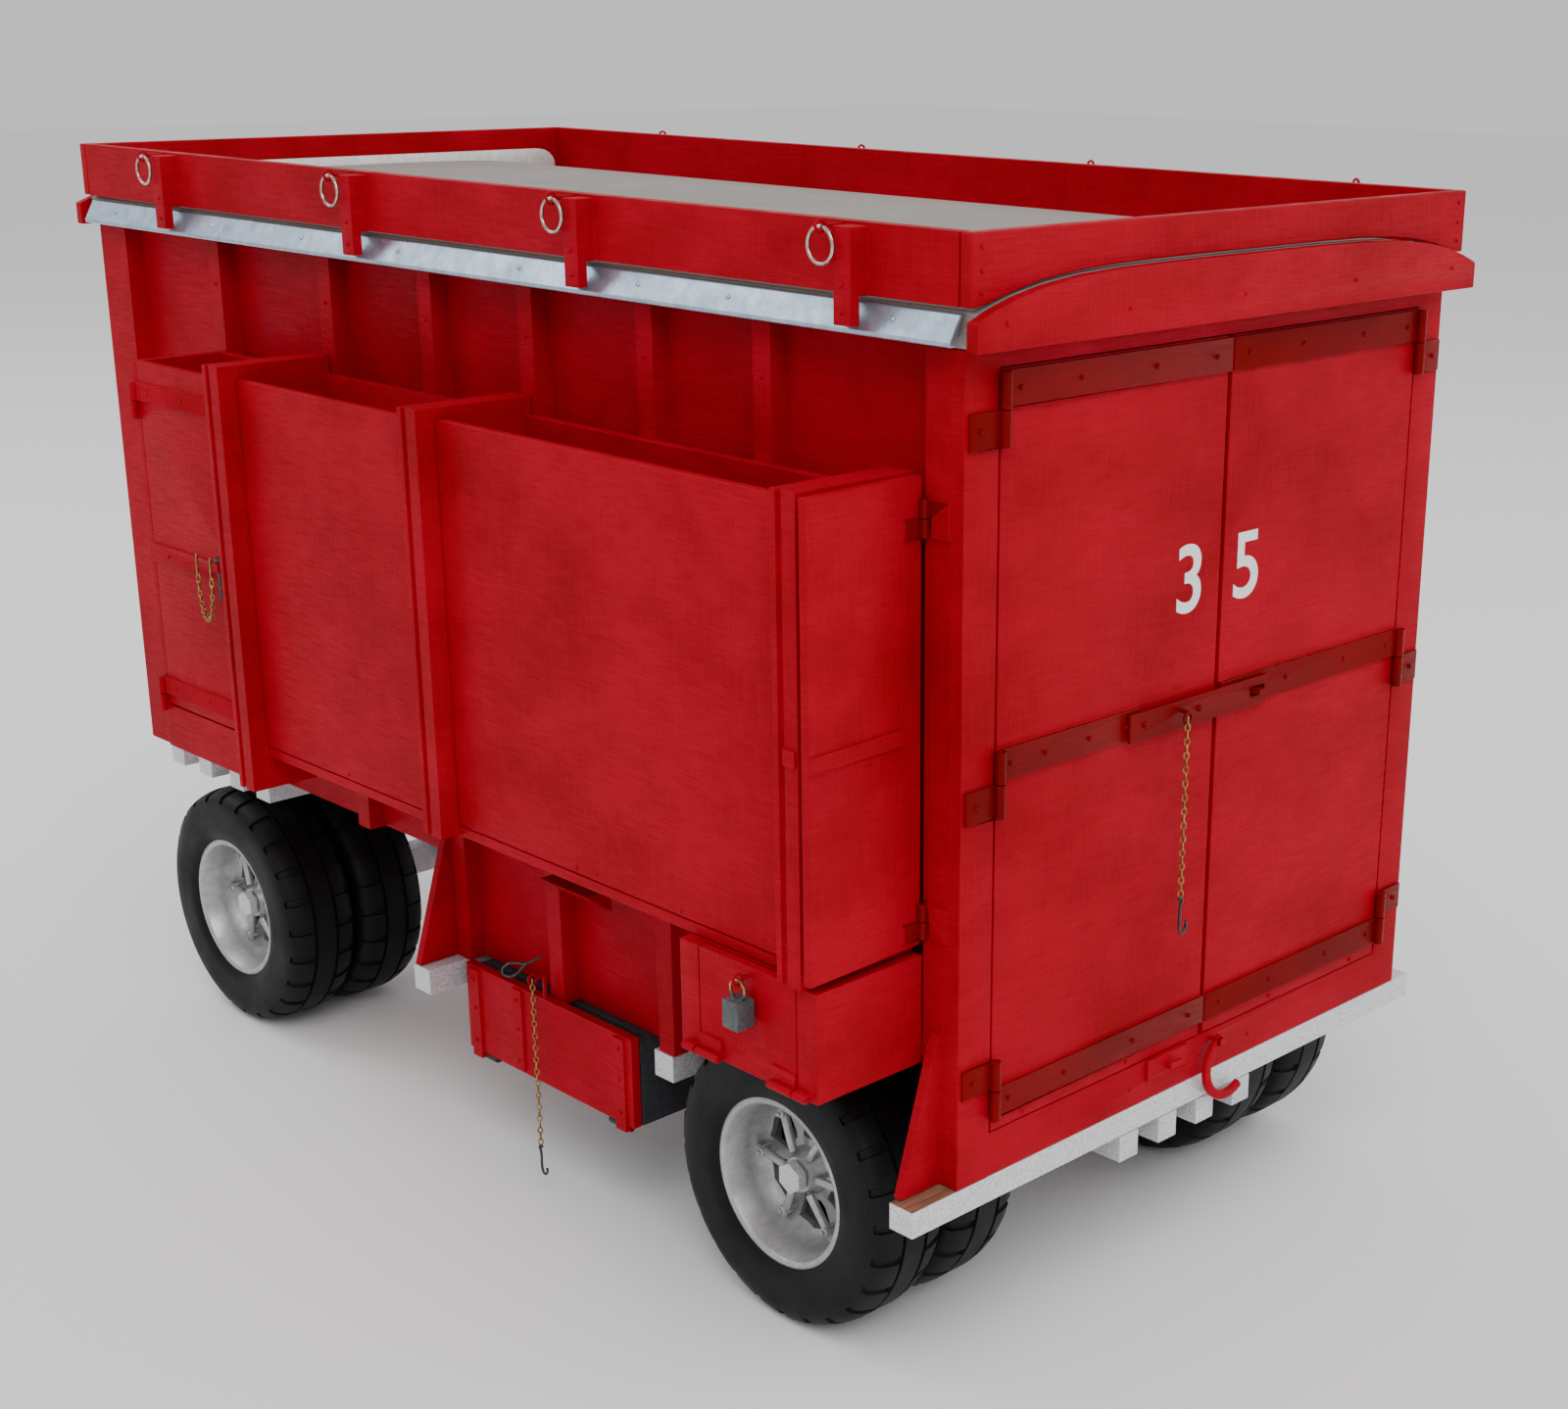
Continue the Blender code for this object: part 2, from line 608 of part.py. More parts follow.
def wire_hook(axis, x, y, top, size):
    """A J of square wire hanging from its top."""
    w = HOOK_WIRE
    flat = (y - w, y + w) if axis == "Y" else (x - w, x + w)
    a = x if axis == "Y" else y
    outline = [
        (a - w, top), (a + w, top), (a + w, top - size + 0.0010), (a + 0.0016, top - size + w),
        (a + 0.0026, top - size + 0.0012), (a + 0.0026, top - size + 0.0036),
        (a + 0.0026 + 2 * w, top - size + 0.0036), (a + 0.0026 + 2 * w, top - size + 0.0008),
        (a + 0.0018, top - size - w), (a, top - size),
    ]
    return [prism(outline, axis, flat)]


def door_chain(left_door):
    x, y, z = DOOR_CHAIN_AT
    links = part("door_chain", "brass", chain(x, y, z, DOOR_CHAIN_LINKS), pivot=(x, y, z), parent=left_door)
    end = chain_end(z, DOOR_CHAIN_LINKS)
    part("door_chain_hook", "steel", wire_hook("Y", x, y, end, 0.0105), pivot=(x, y, end), parent=links)


def c_hook():
    """A flat hook that hangs from a bolt on the sill and curls down past the bar."""
    x, z = C_HOOK_PIVOT
    start = math.radians(120)
    centre = (x - C_HOOK_RADIUS * math.cos(start), z - C_HOOK_RADIUS * math.sin(start))
    turns = [start + math.radians(C_HOOK_TURN) * step / C_HOOK_STEPS for step in range(C_HOOK_STEPS + 1)]
    half = C_HOOK_WIDTH / 2
    outer = [(centre[0] + (C_HOOK_RADIUS + half) * math.cos(t),
              centre[1] + (C_HOOK_RADIUS + half) * math.sin(t)) for t in turns]
    inner = [(centre[0] + (C_HOOK_RADIUS - half) * math.cos(t),
              centre[1] + (C_HOOK_RADIUS - half) * math.sin(t)) for t in reversed(turns)]
    back = -STRAP_SHEET - 2 * GAP
    span = (back - C_HOOK_SHEET, back)
    eye = rod("Y", (x, z), half + 0.0004, span, 10)
    bore = rod("Y", (x, z), C_HOOK_BOLT + C_HOOK_PLAY, (span[0] - 0.001, span[1] + 0.001), 8)
    part("c_hook", "red", [prism(outer + inner, "Y", span), eye], pivot=(x, sum(span) / 2, z), cuts=[bore])


# Rack

def rack_frame():
    """The rack's inner wall, floor and far end, and its grooved posts: the near one has a mouth."""
    back = -HALF - GAP
    inner = back - BOARD
    panel_face = -HALF - RACK_DEPTH + PANEL_INSET
    near = POST_PLACES[2] - RACK_POST / 2
    far_post = POST_PLACES[0]
    meshes = [
        block((inner, back), (near, RACK_END), (RACK_BOTTOM, INNER_TOP)),
        block((panel_face, back), (near, far_post), (RACK_BOTTOM, RACK_BOTTOM + BOARD)),
        block((panel_face, back), (far_post, RACK_END), (BAY_BOTTOM, BAY_BOTTOM + BOARD)),
        block((inner, back), (far_post, RACK_END), (BAY_BOTTOM, RACK_BOTTOM + BOARD)),
        block((panel_face, back), (RACK_END - BOARD, RACK_END), (BAY_BOTTOM, INNER_TOP)),
        block((panel_face, panel_face + BOARD), (far_post, RACK_END),
              (BAY_BOTTOM, BAY_DOOR_BOTTOM - HINGE_PLAY)),
    ]
    cuts = []
    for y, foot in zip(POST_PLACES, (BAY_BOTTOM, RACK_BOTTOM, RACK_BOTTOM)):
        face = -HALF - RACK_DEPTH
        meshes.append(block((face, back), (y - RACK_POST / 2, y + RACK_POST / 2), (foot, RACK_TOP)))
        groove = (y + RACK_POST / 2 - 2 * GROOVE, y + RACK_POST / 2 - GROOVE)
        cuts.append(block((face - 0.001, face + GROOVE / 2), groove, (foot - 0.001, RACK_TOP + 0.001)))
    mouth = (-HALF - RACK_DEPTH + RACK_POST, inner)
    cuts.append(block(mouth, (near - 0.001, near + RACK_POST + 0.001),
                      (RACK_BOTTOM + BOARD, RACK_TOP - RACK_POST)))
    wrap = (POST_PLACES[2] - RACK_POST / 2 + 0.0005, POST_PLACES[2] + RACK_POST / 2 - 2 * GROOVE)
    meshes.append(block((-HALF - RACK_DEPTH - SMALL_SHEET, -HALF - RACK_DEPTH + 0.0005), wrap, END_STRAP_SPAN))
    axis = bay_hinge()
    for height in BAY_STRAP_HEIGHTS[::2]:
        low, high = height - BAY_STRAP_WIDTH / 2, height + BAY_STRAP_WIDTH / 2
        meshes.append(rod("Z", axis, SMALL_KNUCKLE, (low - 0.006, low - GAP), 8))
        leaf = (axis[1] - SMALL_KNUCKLE / 2, RACK_END)
        meshes.append(block((panel_face - SMALL_SHEET, panel_face + 0.0005), leaf, (low - 0.006, low - GAP)))
    part("rack_frame", "red", meshes, cuts=cuts)


def rack_panel(name, start, end, top):
    face = -HALF - RACK_DEPTH + PANEL_INSET
    bottom = RACK_BOTTOM + BOARD + GAP
    part(name, "red", [block((face, face + BOARD), (start + GAP, end - GAP), (bottom, top))])


def bay_hinge():
    """Where the bay door turns: X and Y of its hinge pins."""
    face = -HALF - RACK_DEPTH + PANEL_INSET
    return (face - SMALL_KNUCKLE - GAP, RACK_END - 0.0015)


def bay_door():
    """The door over the far bay, with straps, a lug for the latch pin and its knuckles."""
    face = -HALF - RACK_DEPTH + PANEL_INSET
    x, y = bay_hinge()
    near = POST_PLACES[0] + RACK_POST / 2 + HINGE_PLAY
    far = RACK_END - BOARD - GAP
    meshes = [block((face, face + BOARD), (near, far), (BAY_DOOR_BOTTOM, INNER_TOP))]
    for number, height in enumerate(BAY_STRAP_HEIGHTS):
        span = (height - BAY_STRAP_WIDTH / 2, height + BAY_STRAP_WIDTH / 2)
        meshes.append(block((face - SMALL_SHEET, face + 0.0005), (near + 0.001, far - 0.0005), span))
        if number != 1:
            meshes.append(block((face - SMALL_SHEET - 0.0002, face - GAP), (far - 0.002, y), span))
            meshes.append(rod("Z", (x, y), SMALL_KNUCKLE, span, 8))
    lug_y, lug_z = latch_place()
    lug_x = face - SMALL_SHEET - 0.0020
    meshes.append(block((lug_x - 0.0014, face), (lug_y - 0.0014, lug_y + 0.0014), (lug_z - 0.0015, lug_z + 0.0015)))
    bore = rod("Z", (lug_x, lug_y), PIN_RADIUS + GAP, (lug_z - 0.003, lug_z + 0.003), 8)
    return part("bay_door", "red", meshes, pivot=(x, y, (BAY_DOOR_BOTTOM + INNER_TOP) / 2), cuts=[bore])


def latch_place():
    """Y and Z of the bay door's latch lug."""
    return (POST_PLACES[0] + RACK_POST / 2 + 0.0065, 0.1235)


def latch(door_object):
    """The pin that drops through the lug, and the loop of chain that keeps it."""
    face = -HALF - RACK_DEPTH + PANEL_INSET
    y, z = latch_place()
    x = face - SMALL_SHEET - 0.0020
    head = z + 0.0015 + GAP
    pin = [rod("Z", (x, y), PIN_RADIUS, (z - 0.0110, head + 0.001), 8),
           rod("Z", (x, y), 0.0015, (head, head + 0.0012), 8)]
    part("latch_pin", "steel", pin, pivot=(x, y, z), parent=door_object)
    left, right, top, low = y + 0.0028, y + 0.0135, z + 0.003, z - 0.0195
    w = LINK_SHEET
    outline = [
        (left, top), (left + w, top), (left + w + 0.001, low + 0.004), (left + 0.0050, low + w),
        (right - 0.0050 + w, low + w), (right - w - 0.001, low + 0.004), (right - w, top), (right, top),
        (right, low + 0.004), (right - 0.0040, low), (left + 0.0040, low), (left, low + 0.004),
    ]
    near = x - LINK_SHEET
    part("latch_chain", "brass", [prism(outline, "X", (near - w, near + w))],
         pivot=(x, y, z), parent=door_object)


def rack_end_door():
    """The door that closes the rack's near end, standing a little open."""
    x, y = end_hinge()
    front = REAR_POST_DEPTH + 0.0001
    meshes = [block((-HALF - 0.0010, -HALF - END_DOOR_REACH), (front, front + END_DOOR_BOARD),
                    (END_DOOR_BOTTOM, END_DOOR_TOP))]
    for low, high in END_HINGE_SPANS:
        middle = (low + high) / 2
        leaf = (-HALF - 0.0022, -HALF - 0.0075)
        meshes.append(block(leaf, (front - SMALL_SHEET, front + 0.0005), (low, middle - GAP / 2)))
        meshes.append(rod("Z", (x, y), SMALL_KNUCKLE, (low, middle - GAP / 2), 8))
    strap = (-HALF - 0.0080, -HALF - END_DOOR_REACH)
    meshes.append(block(strap, (front - SMALL_SHEET, front + 0.0005), END_STRAP_SPAN))
    opened = Matrix.Rotation(math.radians(END_DOOR_AJAR), 4, "Z")
    about = Matrix.Translation((x, y, 0)) @ opened @ Matrix.Translation((-x, -y, 0))
    for mesh in meshes:
        mesh.transform(about)
    part("rack_end_door", "red", meshes, pivot=(x, y, (END_DOOR_BOTTOM + END_DOOR_TOP) / 2))


# Locker and tool box

def locker_hinge():
    """X and Z of the locker door's hinge pins."""
    return (-HALF - LOCKER_DEPTH - SMALL_KNUCKLE - GAP, LOCKER_BOTTOM + 0.0012)


def locker():
    """The open-sided box below the rack's near end."""
    start, end = LOCKER_SPAN
    outer = -HALF - LOCKER_DEPTH
    inner = outer + BOARD
    back = -HALF - GAP
    top = RACK_BOTTOM - GAP
    meshes = [
        block((outer, back), (start, start + BOARD), (LOCKER_BOTTOM, top)),
        block((outer, back), (end - BOARD, end), (LOCKER_BOTTOM, top)),
        block((inner + 0.0005, back), (start, end), (LOCKER_BOTTOM, LOCKER_BOTTOM + BOARD)),
        block((inner + 0.0005, back), (start, end), (top - BOARD, top)),
        block((back - BOARD, back), (start, end), (LOCKER_BOTTOM, top)),
        block((outer, inner), (start, start + LOCKER_STRIP), (LOCKER_BOTTOM, top)),
        block((outer, inner), (end - LOCKER_STRIP, end), (LOCKER_BOTTOM, top)),
    ]
    x, z = locker_hinge()
    for edge, direction in ((start + LOCKER_STRIP, -1), (end - LOCKER_STRIP, 1)):
        span = (edge + direction * GAP, edge + direction * 0.005)
        meshes.append(rod("Y", (x, z), SMALL_KNUCKLE, span, 8))
        meshes.append(block((x, outer + 0.0005), span, (z - 0.0004, z + SMALL_KNUCKLE)))
    part("locker", "red", meshes)


def locker_door():
    start = LOCKER_SPAN[0] + LOCKER_STRIP + GAP
    end = LOCKER_SPAN[1] - LOCKER_STRIP - GAP
    outer = -HALF - LOCKER_DEPTH
    top = RACK_BOTTOM - GAP
    x, z = locker_hinge()
    meshes = [block((outer, outer + BOARD - GAP), (start, end), (LOCKER_BOTTOM + 0.0002, top))]
    for near, far in ((start, start + LOCKER_HINGE_LENGTH), (end - LOCKER_HINGE_LENGTH, end)):
        meshes.append(rod("Y", (x, z), SMALL_KNUCKLE, (near, far), 8))
        meshes.append(block((outer - SMALL_SHEET, outer + 0.0005), (near, far), (z, z + 0.0050)))
    eye_x, eye_z = padlock_eye()
    meshes.append(ring("Y", (eye_x, PADLOCK_Y, eye_z), EYE_RADIUS, EYE_WIRE, 8, 4))
    meshes.append(block((eye_x + EYE_RADIUS, outer + 0.0005), (PADLOCK_Y - EYE_WIRE, PADLOCK_Y + EYE_WIRE),
                        (eye_z - EYE_WIRE, eye_z + EYE_WIRE)))
    return part("locker_door", "red", meshes, pivot=(x, (start + end) / 2, z))


def padlock_eye():
    """X and Z of the eye that the padlock hangs in."""
    return (-HALF - LOCKER_DEPTH - PADLOCK_BODY[0] / 2 - 0.0012, RACK_BOTTOM - 0.0025)


def padlock(door_object):
    x, z = padlock_eye()
    width, depth, height = PADLOCK_BODY
    top = z - 2 * RING_RADIUS + 0.0030
    shackle = ring("X", (x, PADLOCK_Y, z - 0.0028), 0.0028, RING_WIRE, 10, 4)
    body = block((x - width / 2, x + width / 2), (PADLOCK_Y - depth / 2, PADLOCK_Y + depth / 2),
                 (top - height, top + 0.0008))
    part("padlock", "steel", [body, shackle], pivot=(x, PADLOCK_Y, z), parent=door_object)


def tool_box():
    start, end = TOOL_BOX_SPAN
    outer, inner = -HALF, -HALF + TOOL_BOX_WIDTH
    high = -GAP
    low = TOOL_BOX_BOTTOM
    meshes = [
        block((outer, inner), (start, start + BOARD), (low, high)),
        block((outer, inner), (end - BOARD, end), (low, high)),
        block((inner - BOARD, inner), (start, end), (low, high)),
        block((outer, inner), (start, end), (low, low + BOARD)),
        block((outer + 0.004, inner), (start, end), (high - BOARD, high)),
    ]
    x, z = drop_hinge()
    for y in DROP_STRAP_PLACES[::2]:
        away = 1 if y < sum(TOOL_BOX_SPAN) / 2 else -1
        near = y + away * (DROP_STRAP_WIDTH / 2 + GAP)
        span = (near, near + away * 0.005)
        meshes.append(rod("Y", (x, z), SMALL_KNUCKLE, span, 8))
        meshes.append(block((x, outer + 0.0010), span, (z - SMALL_KNUCKLE, z)))
        meshes.append(block((outer, outer + 0.0010), span, (z - SMALL_KNUCKLE, low + 0.001)))
    part("tool_box", "slate", meshes)


def drop_hinge():
    """X and Z of the drop board's hinge pins."""
    return (-HALF - 0.0020, TOOL_BOX_BOTTOM - SMALL_KNUCKLE - 0.0002)


def drop_board():
    x, z = drop_hinge()
    inner = -HALF - 2 * GAP
    outer = inner - BOARD
    start, end = TOOL_BOX_SPAN
    meshes = [block((outer, inner), (start, end), (TOOL_BOX_BOTTOM, DROP_BOARD_TOP))]
    for y in DROP_STRAP_PLACES:
        span = (y - DROP_STRAP_WIDTH / 2, y + DROP_STRAP_WIDTH / 2)
        low = z - SMALL_KNUCKLE / 2 if y != DROP_STRAP_PLACES[1] else TOOL_BOX_BOTTOM + 0.001
        meshes.append(block((outer - SMALL_SHEET, outer + 0.0005), span, (low, DROP_BOARD_TOP - 0.001)))
        if y != DROP_STRAP_PLACES[1]:
            meshes.append(rod("Y", (x, z), SMALL_KNUCKLE, span, 8))
            meshes.append(block((outer - SMALL_SHEET, x), span, (z - SMALL_KNUCKLE / 2, z + 0.0004)))
    eye_x, eye_z = belly_eye()
    y = BELLY_CHAIN_Y
    stem = (y - EYE_WIRE, y + EYE_WIRE)
    meshes.append(block((outer + 0.0002, outer + 0.0012), stem, (DROP_BOARD_TOP - 0.001, eye_z + EYE_WIRE)))
    meshes.append(block((eye_x + EYE_RADIUS, outer + 0.0012), stem, (eye_z - EYE_WIRE, eye_z + EYE_WIRE)))
    meshes.append(ring("Y", (eye_x, y, eye_z), EYE_RADIUS, EYE_WIRE, 8, 4))
    return part("drop_board", "red", meshes, pivot=(x, sum(TOOL_BOX_SPAN) / 2, z))


def belly_eye():
    """X and Z of the eye that the belly chain hangs in."""
    return (-HALF - BOARD - 0.0043, 0.0090)


def belly_chain(board_object):
    x, z = belly_eye()
    y = BELLY_CHAIN_Y
    links = part("belly_chain", "brass", chain(x, y, z, BELLY_CHAIN_LINKS), pivot=(x, y, z), parent=board_object)
    end = chain_end(z, BELLY_CHAIN_LINKS)
    part("belly_chain_hook", "steel", wire_hook("X", x, y, end, 0.0095), pivot=(x, y, end), parent=links)


# Underframe and running gear

def rear_bar():
    x = (-HALF - BAR_LEFT, HALF + BAR_RIGHT)
    part("rear_bar", "silver", [block(x, (0.0002, 0.0002 + BAR_WIDTH), (-GAP - BAR_HEIGHT, -GAP))])


def chassis():
    """Four long rails with the two cross beams that the belly rests on."""
    low = AXLE_TOP
    high = low + CHASSIS_RAIL
    end = CROSS_BEAMS[-1][0] + BAR_WIDTH
    meshes = []
    for number in range(4):
        x = CHASSIS_OFFSET + (number - 1.5) * CHASSIS_PITCH
        meshes.append(block((x - CHASSIS_RAIL / 2, x + CHASSIS_RAIL / 2), (0.0002, end), (low, high)))
    for y, reach in CROSS_BEAMS:
        meshes.append(block((-HALF - reach, HALF), (y, y + BAR_WIDTH), (high - 0.0005, -GAP)))
    part("chassis", "silver", meshes)


def front_underframe():
    """Joists across the raised floor, with the upper half of the turntable below them."""
    high = DECK_HEIGHT - GAP
    low = high - JOIST_HEIGHT
    meshes = [block((-HALF, HALF), (y - JOIST_WIDTH / 2, y + JOIST_WIDTH / 2), (low, high))
              for y in JOIST_PLACES]
    spread = (JOIST_PLACES[0] - JOIST_WIDTH / 2, JOIST_PLACES[-1] + JOIST_WIDTH / 2)
    meshes.append(block((-TURNTABLE_RADIUS, TURNTABLE_RADIUS), spread, (low - BOARD, low + 0.001)))
    meshes.append(rod("Z", (0, FRONT_WHEEL_Y), TURNTABLE_RADIUS, (TURNTABLE_SPLIT, low - BOARD / 2), 24))
    bore = rod("Z", (0, FRONT_WHEEL_Y), KINGPIN_RADIUS + GAP, (TURNTABLE_SPLIT - 0.001, low - BOARD / 2 - 0.001), 12)
    part("front_underframe", "silver", meshes, cuts=[bore])


def hub_face():
    """The outer end of a hub, from the middle of the wagon."""
    return TYRE_FACE - (TYRE_WIDTH - RIM_WIDTH) / 2 - RIM_DISH + NUT_LENGTH


def axle(y):
    """A round axle with a nut beyond each hub, and the square bolster between the wheels."""
    nut = hub_face() + GAP
    inner = TYRE_FACE - 2 * TYRE_WIDTH - TYRE_GAP - 0.002
    meshes = [rod("X", (y, WHEEL_Z), AXLE_RADIUS, (-nut - 0.001, nut + 0.001), 12)]
    for side in (-1, 1):
        meshes.append(rod("X", (y, WHEEL_Z), NUT_RADIUS, (side * nut, side * (nut + NUT_LENGTH)), 6))
    return meshes, inner


def rear_axle():
    meshes, inner = axle(REAR_WHEEL_Y)
    beam = (REAR_WHEEL_Y - BOLSTER / 2, REAR_WHEEL_Y + BOLSTER / 2)
    meshes.append(block((-inner, inner), beam, (WHEEL_Z - BOLSTER / 2, AXLE_TOP - GAP)))
    part("rear_axle", "silver", meshes)


def front_truck():
    meshes, inner = axle(FRONT_WHEEL_Y)
    y = FRONT_WHEEL_Y
    beam = (y - BOLSTER / 2, y + BOLSTER / 2)
    top = TURNTABLE_SPLIT - GAP
    disc = top - 0.008
    meshes.append(block((-inner, inner), beam, (WHEEL_Z - BOLSTER / 2, WHEEL_Z + BOLSTER / 2)))
    meshes.append(block((-0.018, 0.018), (y - 0.009, y + 0.009), (WHEEL_Z, disc + 0.001)))
    meshes.append(rod("Z", (0, y), TURNTABLE_RADIUS, (disc, top), 24))
    low = DECK_HEIGHT - GAP - JOIST_HEIGHT - BOARD / 2
    meshes.append(rod("Z", (0, y), KINGPIN_RADIUS, (top - 0.001, low - 0.003), 12))
    for side in (-1, 1):
        ear = (side * 0.0085, side * 0.0115)
        meshes.append(block(ear, (y, y + TONGUE_Y + 0.003), (WHEEL_Z - 0.003, WHEEL_Z + 0.003)))
    meshes.append(rod("X", (y + TONGUE_Y, WHEEL_Z), 0.0012, (-0.0115, 0.0115), 8))
    return part("front_truck", "silver", meshes, pivot=(0, y, WHEEL_Z))


def tongue(truck):
    """The short draught iron that a towing pole drops into."""
    y = FRONT_WHEEL_Y + TONGUE_Y
    eye = rod("X", (y, WHEEL_Z), 0.0034, (-0.0080, 0.0080), 12)
    bar = block((-0.0080, 0.0080), (y + 0.001, y + TONGUE_LENGTH), (WHEEL_Z - 0.002, WHEEL_Z + 0.002))
    bore = rod("X", (y, WHEEL_Z), 0.0012 + GAP, (-0.010, 0.010), 8)
    slot = block((-0.0040, 0.0040), (y + TONGUE_LENGTH - 0.012, y + TONGUE_LENGTH + 0.001),
                 (WHEEL_Z - 0.003, WHEEL_Z + 0.003))
    part("tongue", "silver", [bar, eye], pivot=(0, y, WHEEL_Z), parent=truck, cuts=[bore, slot])


def tyre_profile():
    half = TYRE_WIDTH / 2
    bore = RIM_RADIUS + GAP
    side = [(half - 0.0030, bore), (half, bore + 0.45 * (WHEEL_RADIUS - bore)),
            (half - 0.0008, WHEEL_RADIUS - 0.004), (half - 0.0035, WHEEL_RADIUS)]
    return side + [(-along, out) for along, out in reversed(side)]


def rim_profile(side):
    """Both rims of a pair and the hub between them, from the outer lip inwards."""
    lip = TYRE_FACE - (TYRE_WIDTH - RIM_WIDTH) / 2
    second = lip - TYRE_WIDTH - TYRE_GAP
    wall = RIM_RADIUS - RIM_WALL
    bore = AXLE_RADIUS + AXLE_PLAY
    end = second - RIM_WIDTH
    points = [
        (hub_face(), bore), (hub_face(), HUB_RADIUS), (lip - RIM_DISH, HUB_RADIUS),
        (lip - RIM_DISH, wall), (lip, wall + 0.0008), (lip, RIM_RADIUS), (lip - RIM_WIDTH, RIM_RADIUS),
        (lip - RIM_WIDTH, wall), (lip - RIM_DISH - RIM_WALL, wall), (lip - RIM_DISH - RIM_WALL, HUB_RADIUS),
        (second - RIM_DISH, HUB_RADIUS), (second - RIM_DISH, wall), (second, wall), (second, RIM_RADIUS),
        (end, RIM_RADIUS), (end, wall), (second - RIM_DISH - RIM_WALL, wall),
        (second - RIM_DISH - RIM_WALL, HUB_RADIUS), (end, HUB_RADIUS), (end, bore),
    ]
    return [(side * along, out) for along, out in points]


def rim_windows(side, y):
    """The openings between the spokes of the outer rim."""
    lip = TYRE_FACE - (TYRE_WIDTH - RIM_WIDTH) / 2
    span = (side * (lip - RIM_DISH + 0.002), side * (lip - RIM_DISH - RIM_WALL - 0.002))
    inner, outer = HUB_RADIUS + 0.0015, RIM_RADIUS - RIM_WALL - 0.0020
    windows = []
    for number in range(SPOKES):
        middle = 2 * math.pi * (number + 0.5) / SPOKES
        corners = [(inner, -0.26), (outer, -0.40), (outer + 0.0006, 0.0), (outer, 0.40), (inner, 0.26)]
        outline = [(y + r * math.cos(middle + turn), WHEEL_Z + r * math.sin(middle + turn))
                   for r, turn in corners]
        windows.append(prism(outline, "X", span))
    return windows


def wheel_pair(name, side, y, parent=None):
    """Two tyres on a joined pair of rims, which turn together on the axle's end."""
    middle = TYRE_FACE - TYRE_WIDTH - TYRE_GAP / 2
    pivot = (side * middle, y, WHEEL_Z)
    step = math.pi / WHEEL_STEPS
    rims = part(f"{name}_rims", "silver", [spun(rim_profile(side), (0, y, WHEEL_Z), "X", RIM_STEPS, step)],
                pivot=pivot, parent=parent, cuts=rim_windows(side, y))
    for place_name, offset in (("outer", 0.5), ("inner", -0.5)):
        x = side * (middle + offset * (TYRE_WIDTH + TYRE_GAP))
        tread = spun(tyre_profile(), (x, y, WHEEL_Z), "X", WHEEL_STEPS, step)
        part(f"{name}_{place_name}_tyre", "rubber", [tread], pivot=pivot, parent=rims, smooth=True)


def stand_on_origin():
    """Moves the whole wagon so that the origin is the middle of its footprint, on the ground."""
    bpy.context.view_layer.update()
    graph = bpy.context.evaluated_depsgraph_get()
    corners = []
    for obj in bpy.context.scene.objects:
        if obj.type == "MESH" and not obj.hide_render:
            shown = obj.evaluated_get(graph)
            corners += [shown.matrix_world @ Vector(corner) for corner in shown.bound_box]
    low = [min(corner[axis] for corner in corners) for axis in range(3)]
    high = [max(corner[axis] for corner in corners) for axis in range(3)]
    middle = (-(low[0] + high[0]) / 2, -(low[1] + high[1]) / 2, -low[2])
    bpy.data.objects["wagon"].location = middle


def build():
    clear_scene()
    wagon = bpy.data.objects.new("wagon", None)
    bpy.context.scene.collection.objects.link(wagon)
    PIVOTS["wagon"] = (0, 0, 0)

    side_wall("left_wall", -1)
    side_wall("right_wall", 1)
    front_wall()
    floor()
    rear_frame()
    cornice("rear_cornice", -ROOF_OVERHANG - CORNICE_BOARD, -ROOF_OVERHANG)
    front = BODY_LENGTH + ROOF_OVERHANG
    cornice("front_cornice", front, front + CORNICE_BOARD)
    roof()
    drip_strip("left_drip_strip", -1)
    drip_strip("right_drip_strip", 1)

    side_rail("left_rail", -1)
    side_rail("right_rail", 1)
    end_rail("rear_rail", -RAIL_BOARD - GAP, -GAP)
    end_rail("front_rail", BODY_LENGTH + GAP, BODY_LENGTH + GAP + RAIL_BOARD)
    tie_rings()

    left_door = door("left_door", -1)
    door("right_door", 1)
    hasp(left_door)
    door_chain(left_door)
    c_hook()

    rack_frame()
    far, middle, near = POST_PLACES
    half = RACK_POST / 2
    rack_panel("rack_panel_short", middle + half, far - half, PANEL_TOP - 0.0012)
    rack_panel("rack_panel_long", near + half, middle - half, PANEL_TOP)
    latch(bay_door())
    rack_end_door()
    locker()
    padlock(locker_door())
    tool_box()
    belly_chain(drop_board())

    rear_bar()
    chassis()
    front_underframe()
    rear_axle()
    truck = front_truck()
    tongue(truck)
    for side, hand in ((-1, "left"), (1, "right")):
        wheel_pair(f"rear_{hand}", side, REAR_WHEEL_Y)
        wheel_pair(f"front_{hand}", side, FRONT_WHEEL_Y, parent=truck)
    stand_on_origin()


build()
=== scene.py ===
# %% [markdown]
# # A red box wagon, piece by piece
# This lesson builds the looks of a hand-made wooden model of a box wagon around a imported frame.
# The frame holds every board, hinge and wheel at its true place. Most boards keep their shape and get
# softer edges and a painted finish. Wheels, chains, rings and rivets are modelled afresh.

# %% Load the frame
import json
import math

import bpy
from mathutils import Matrix, Vector

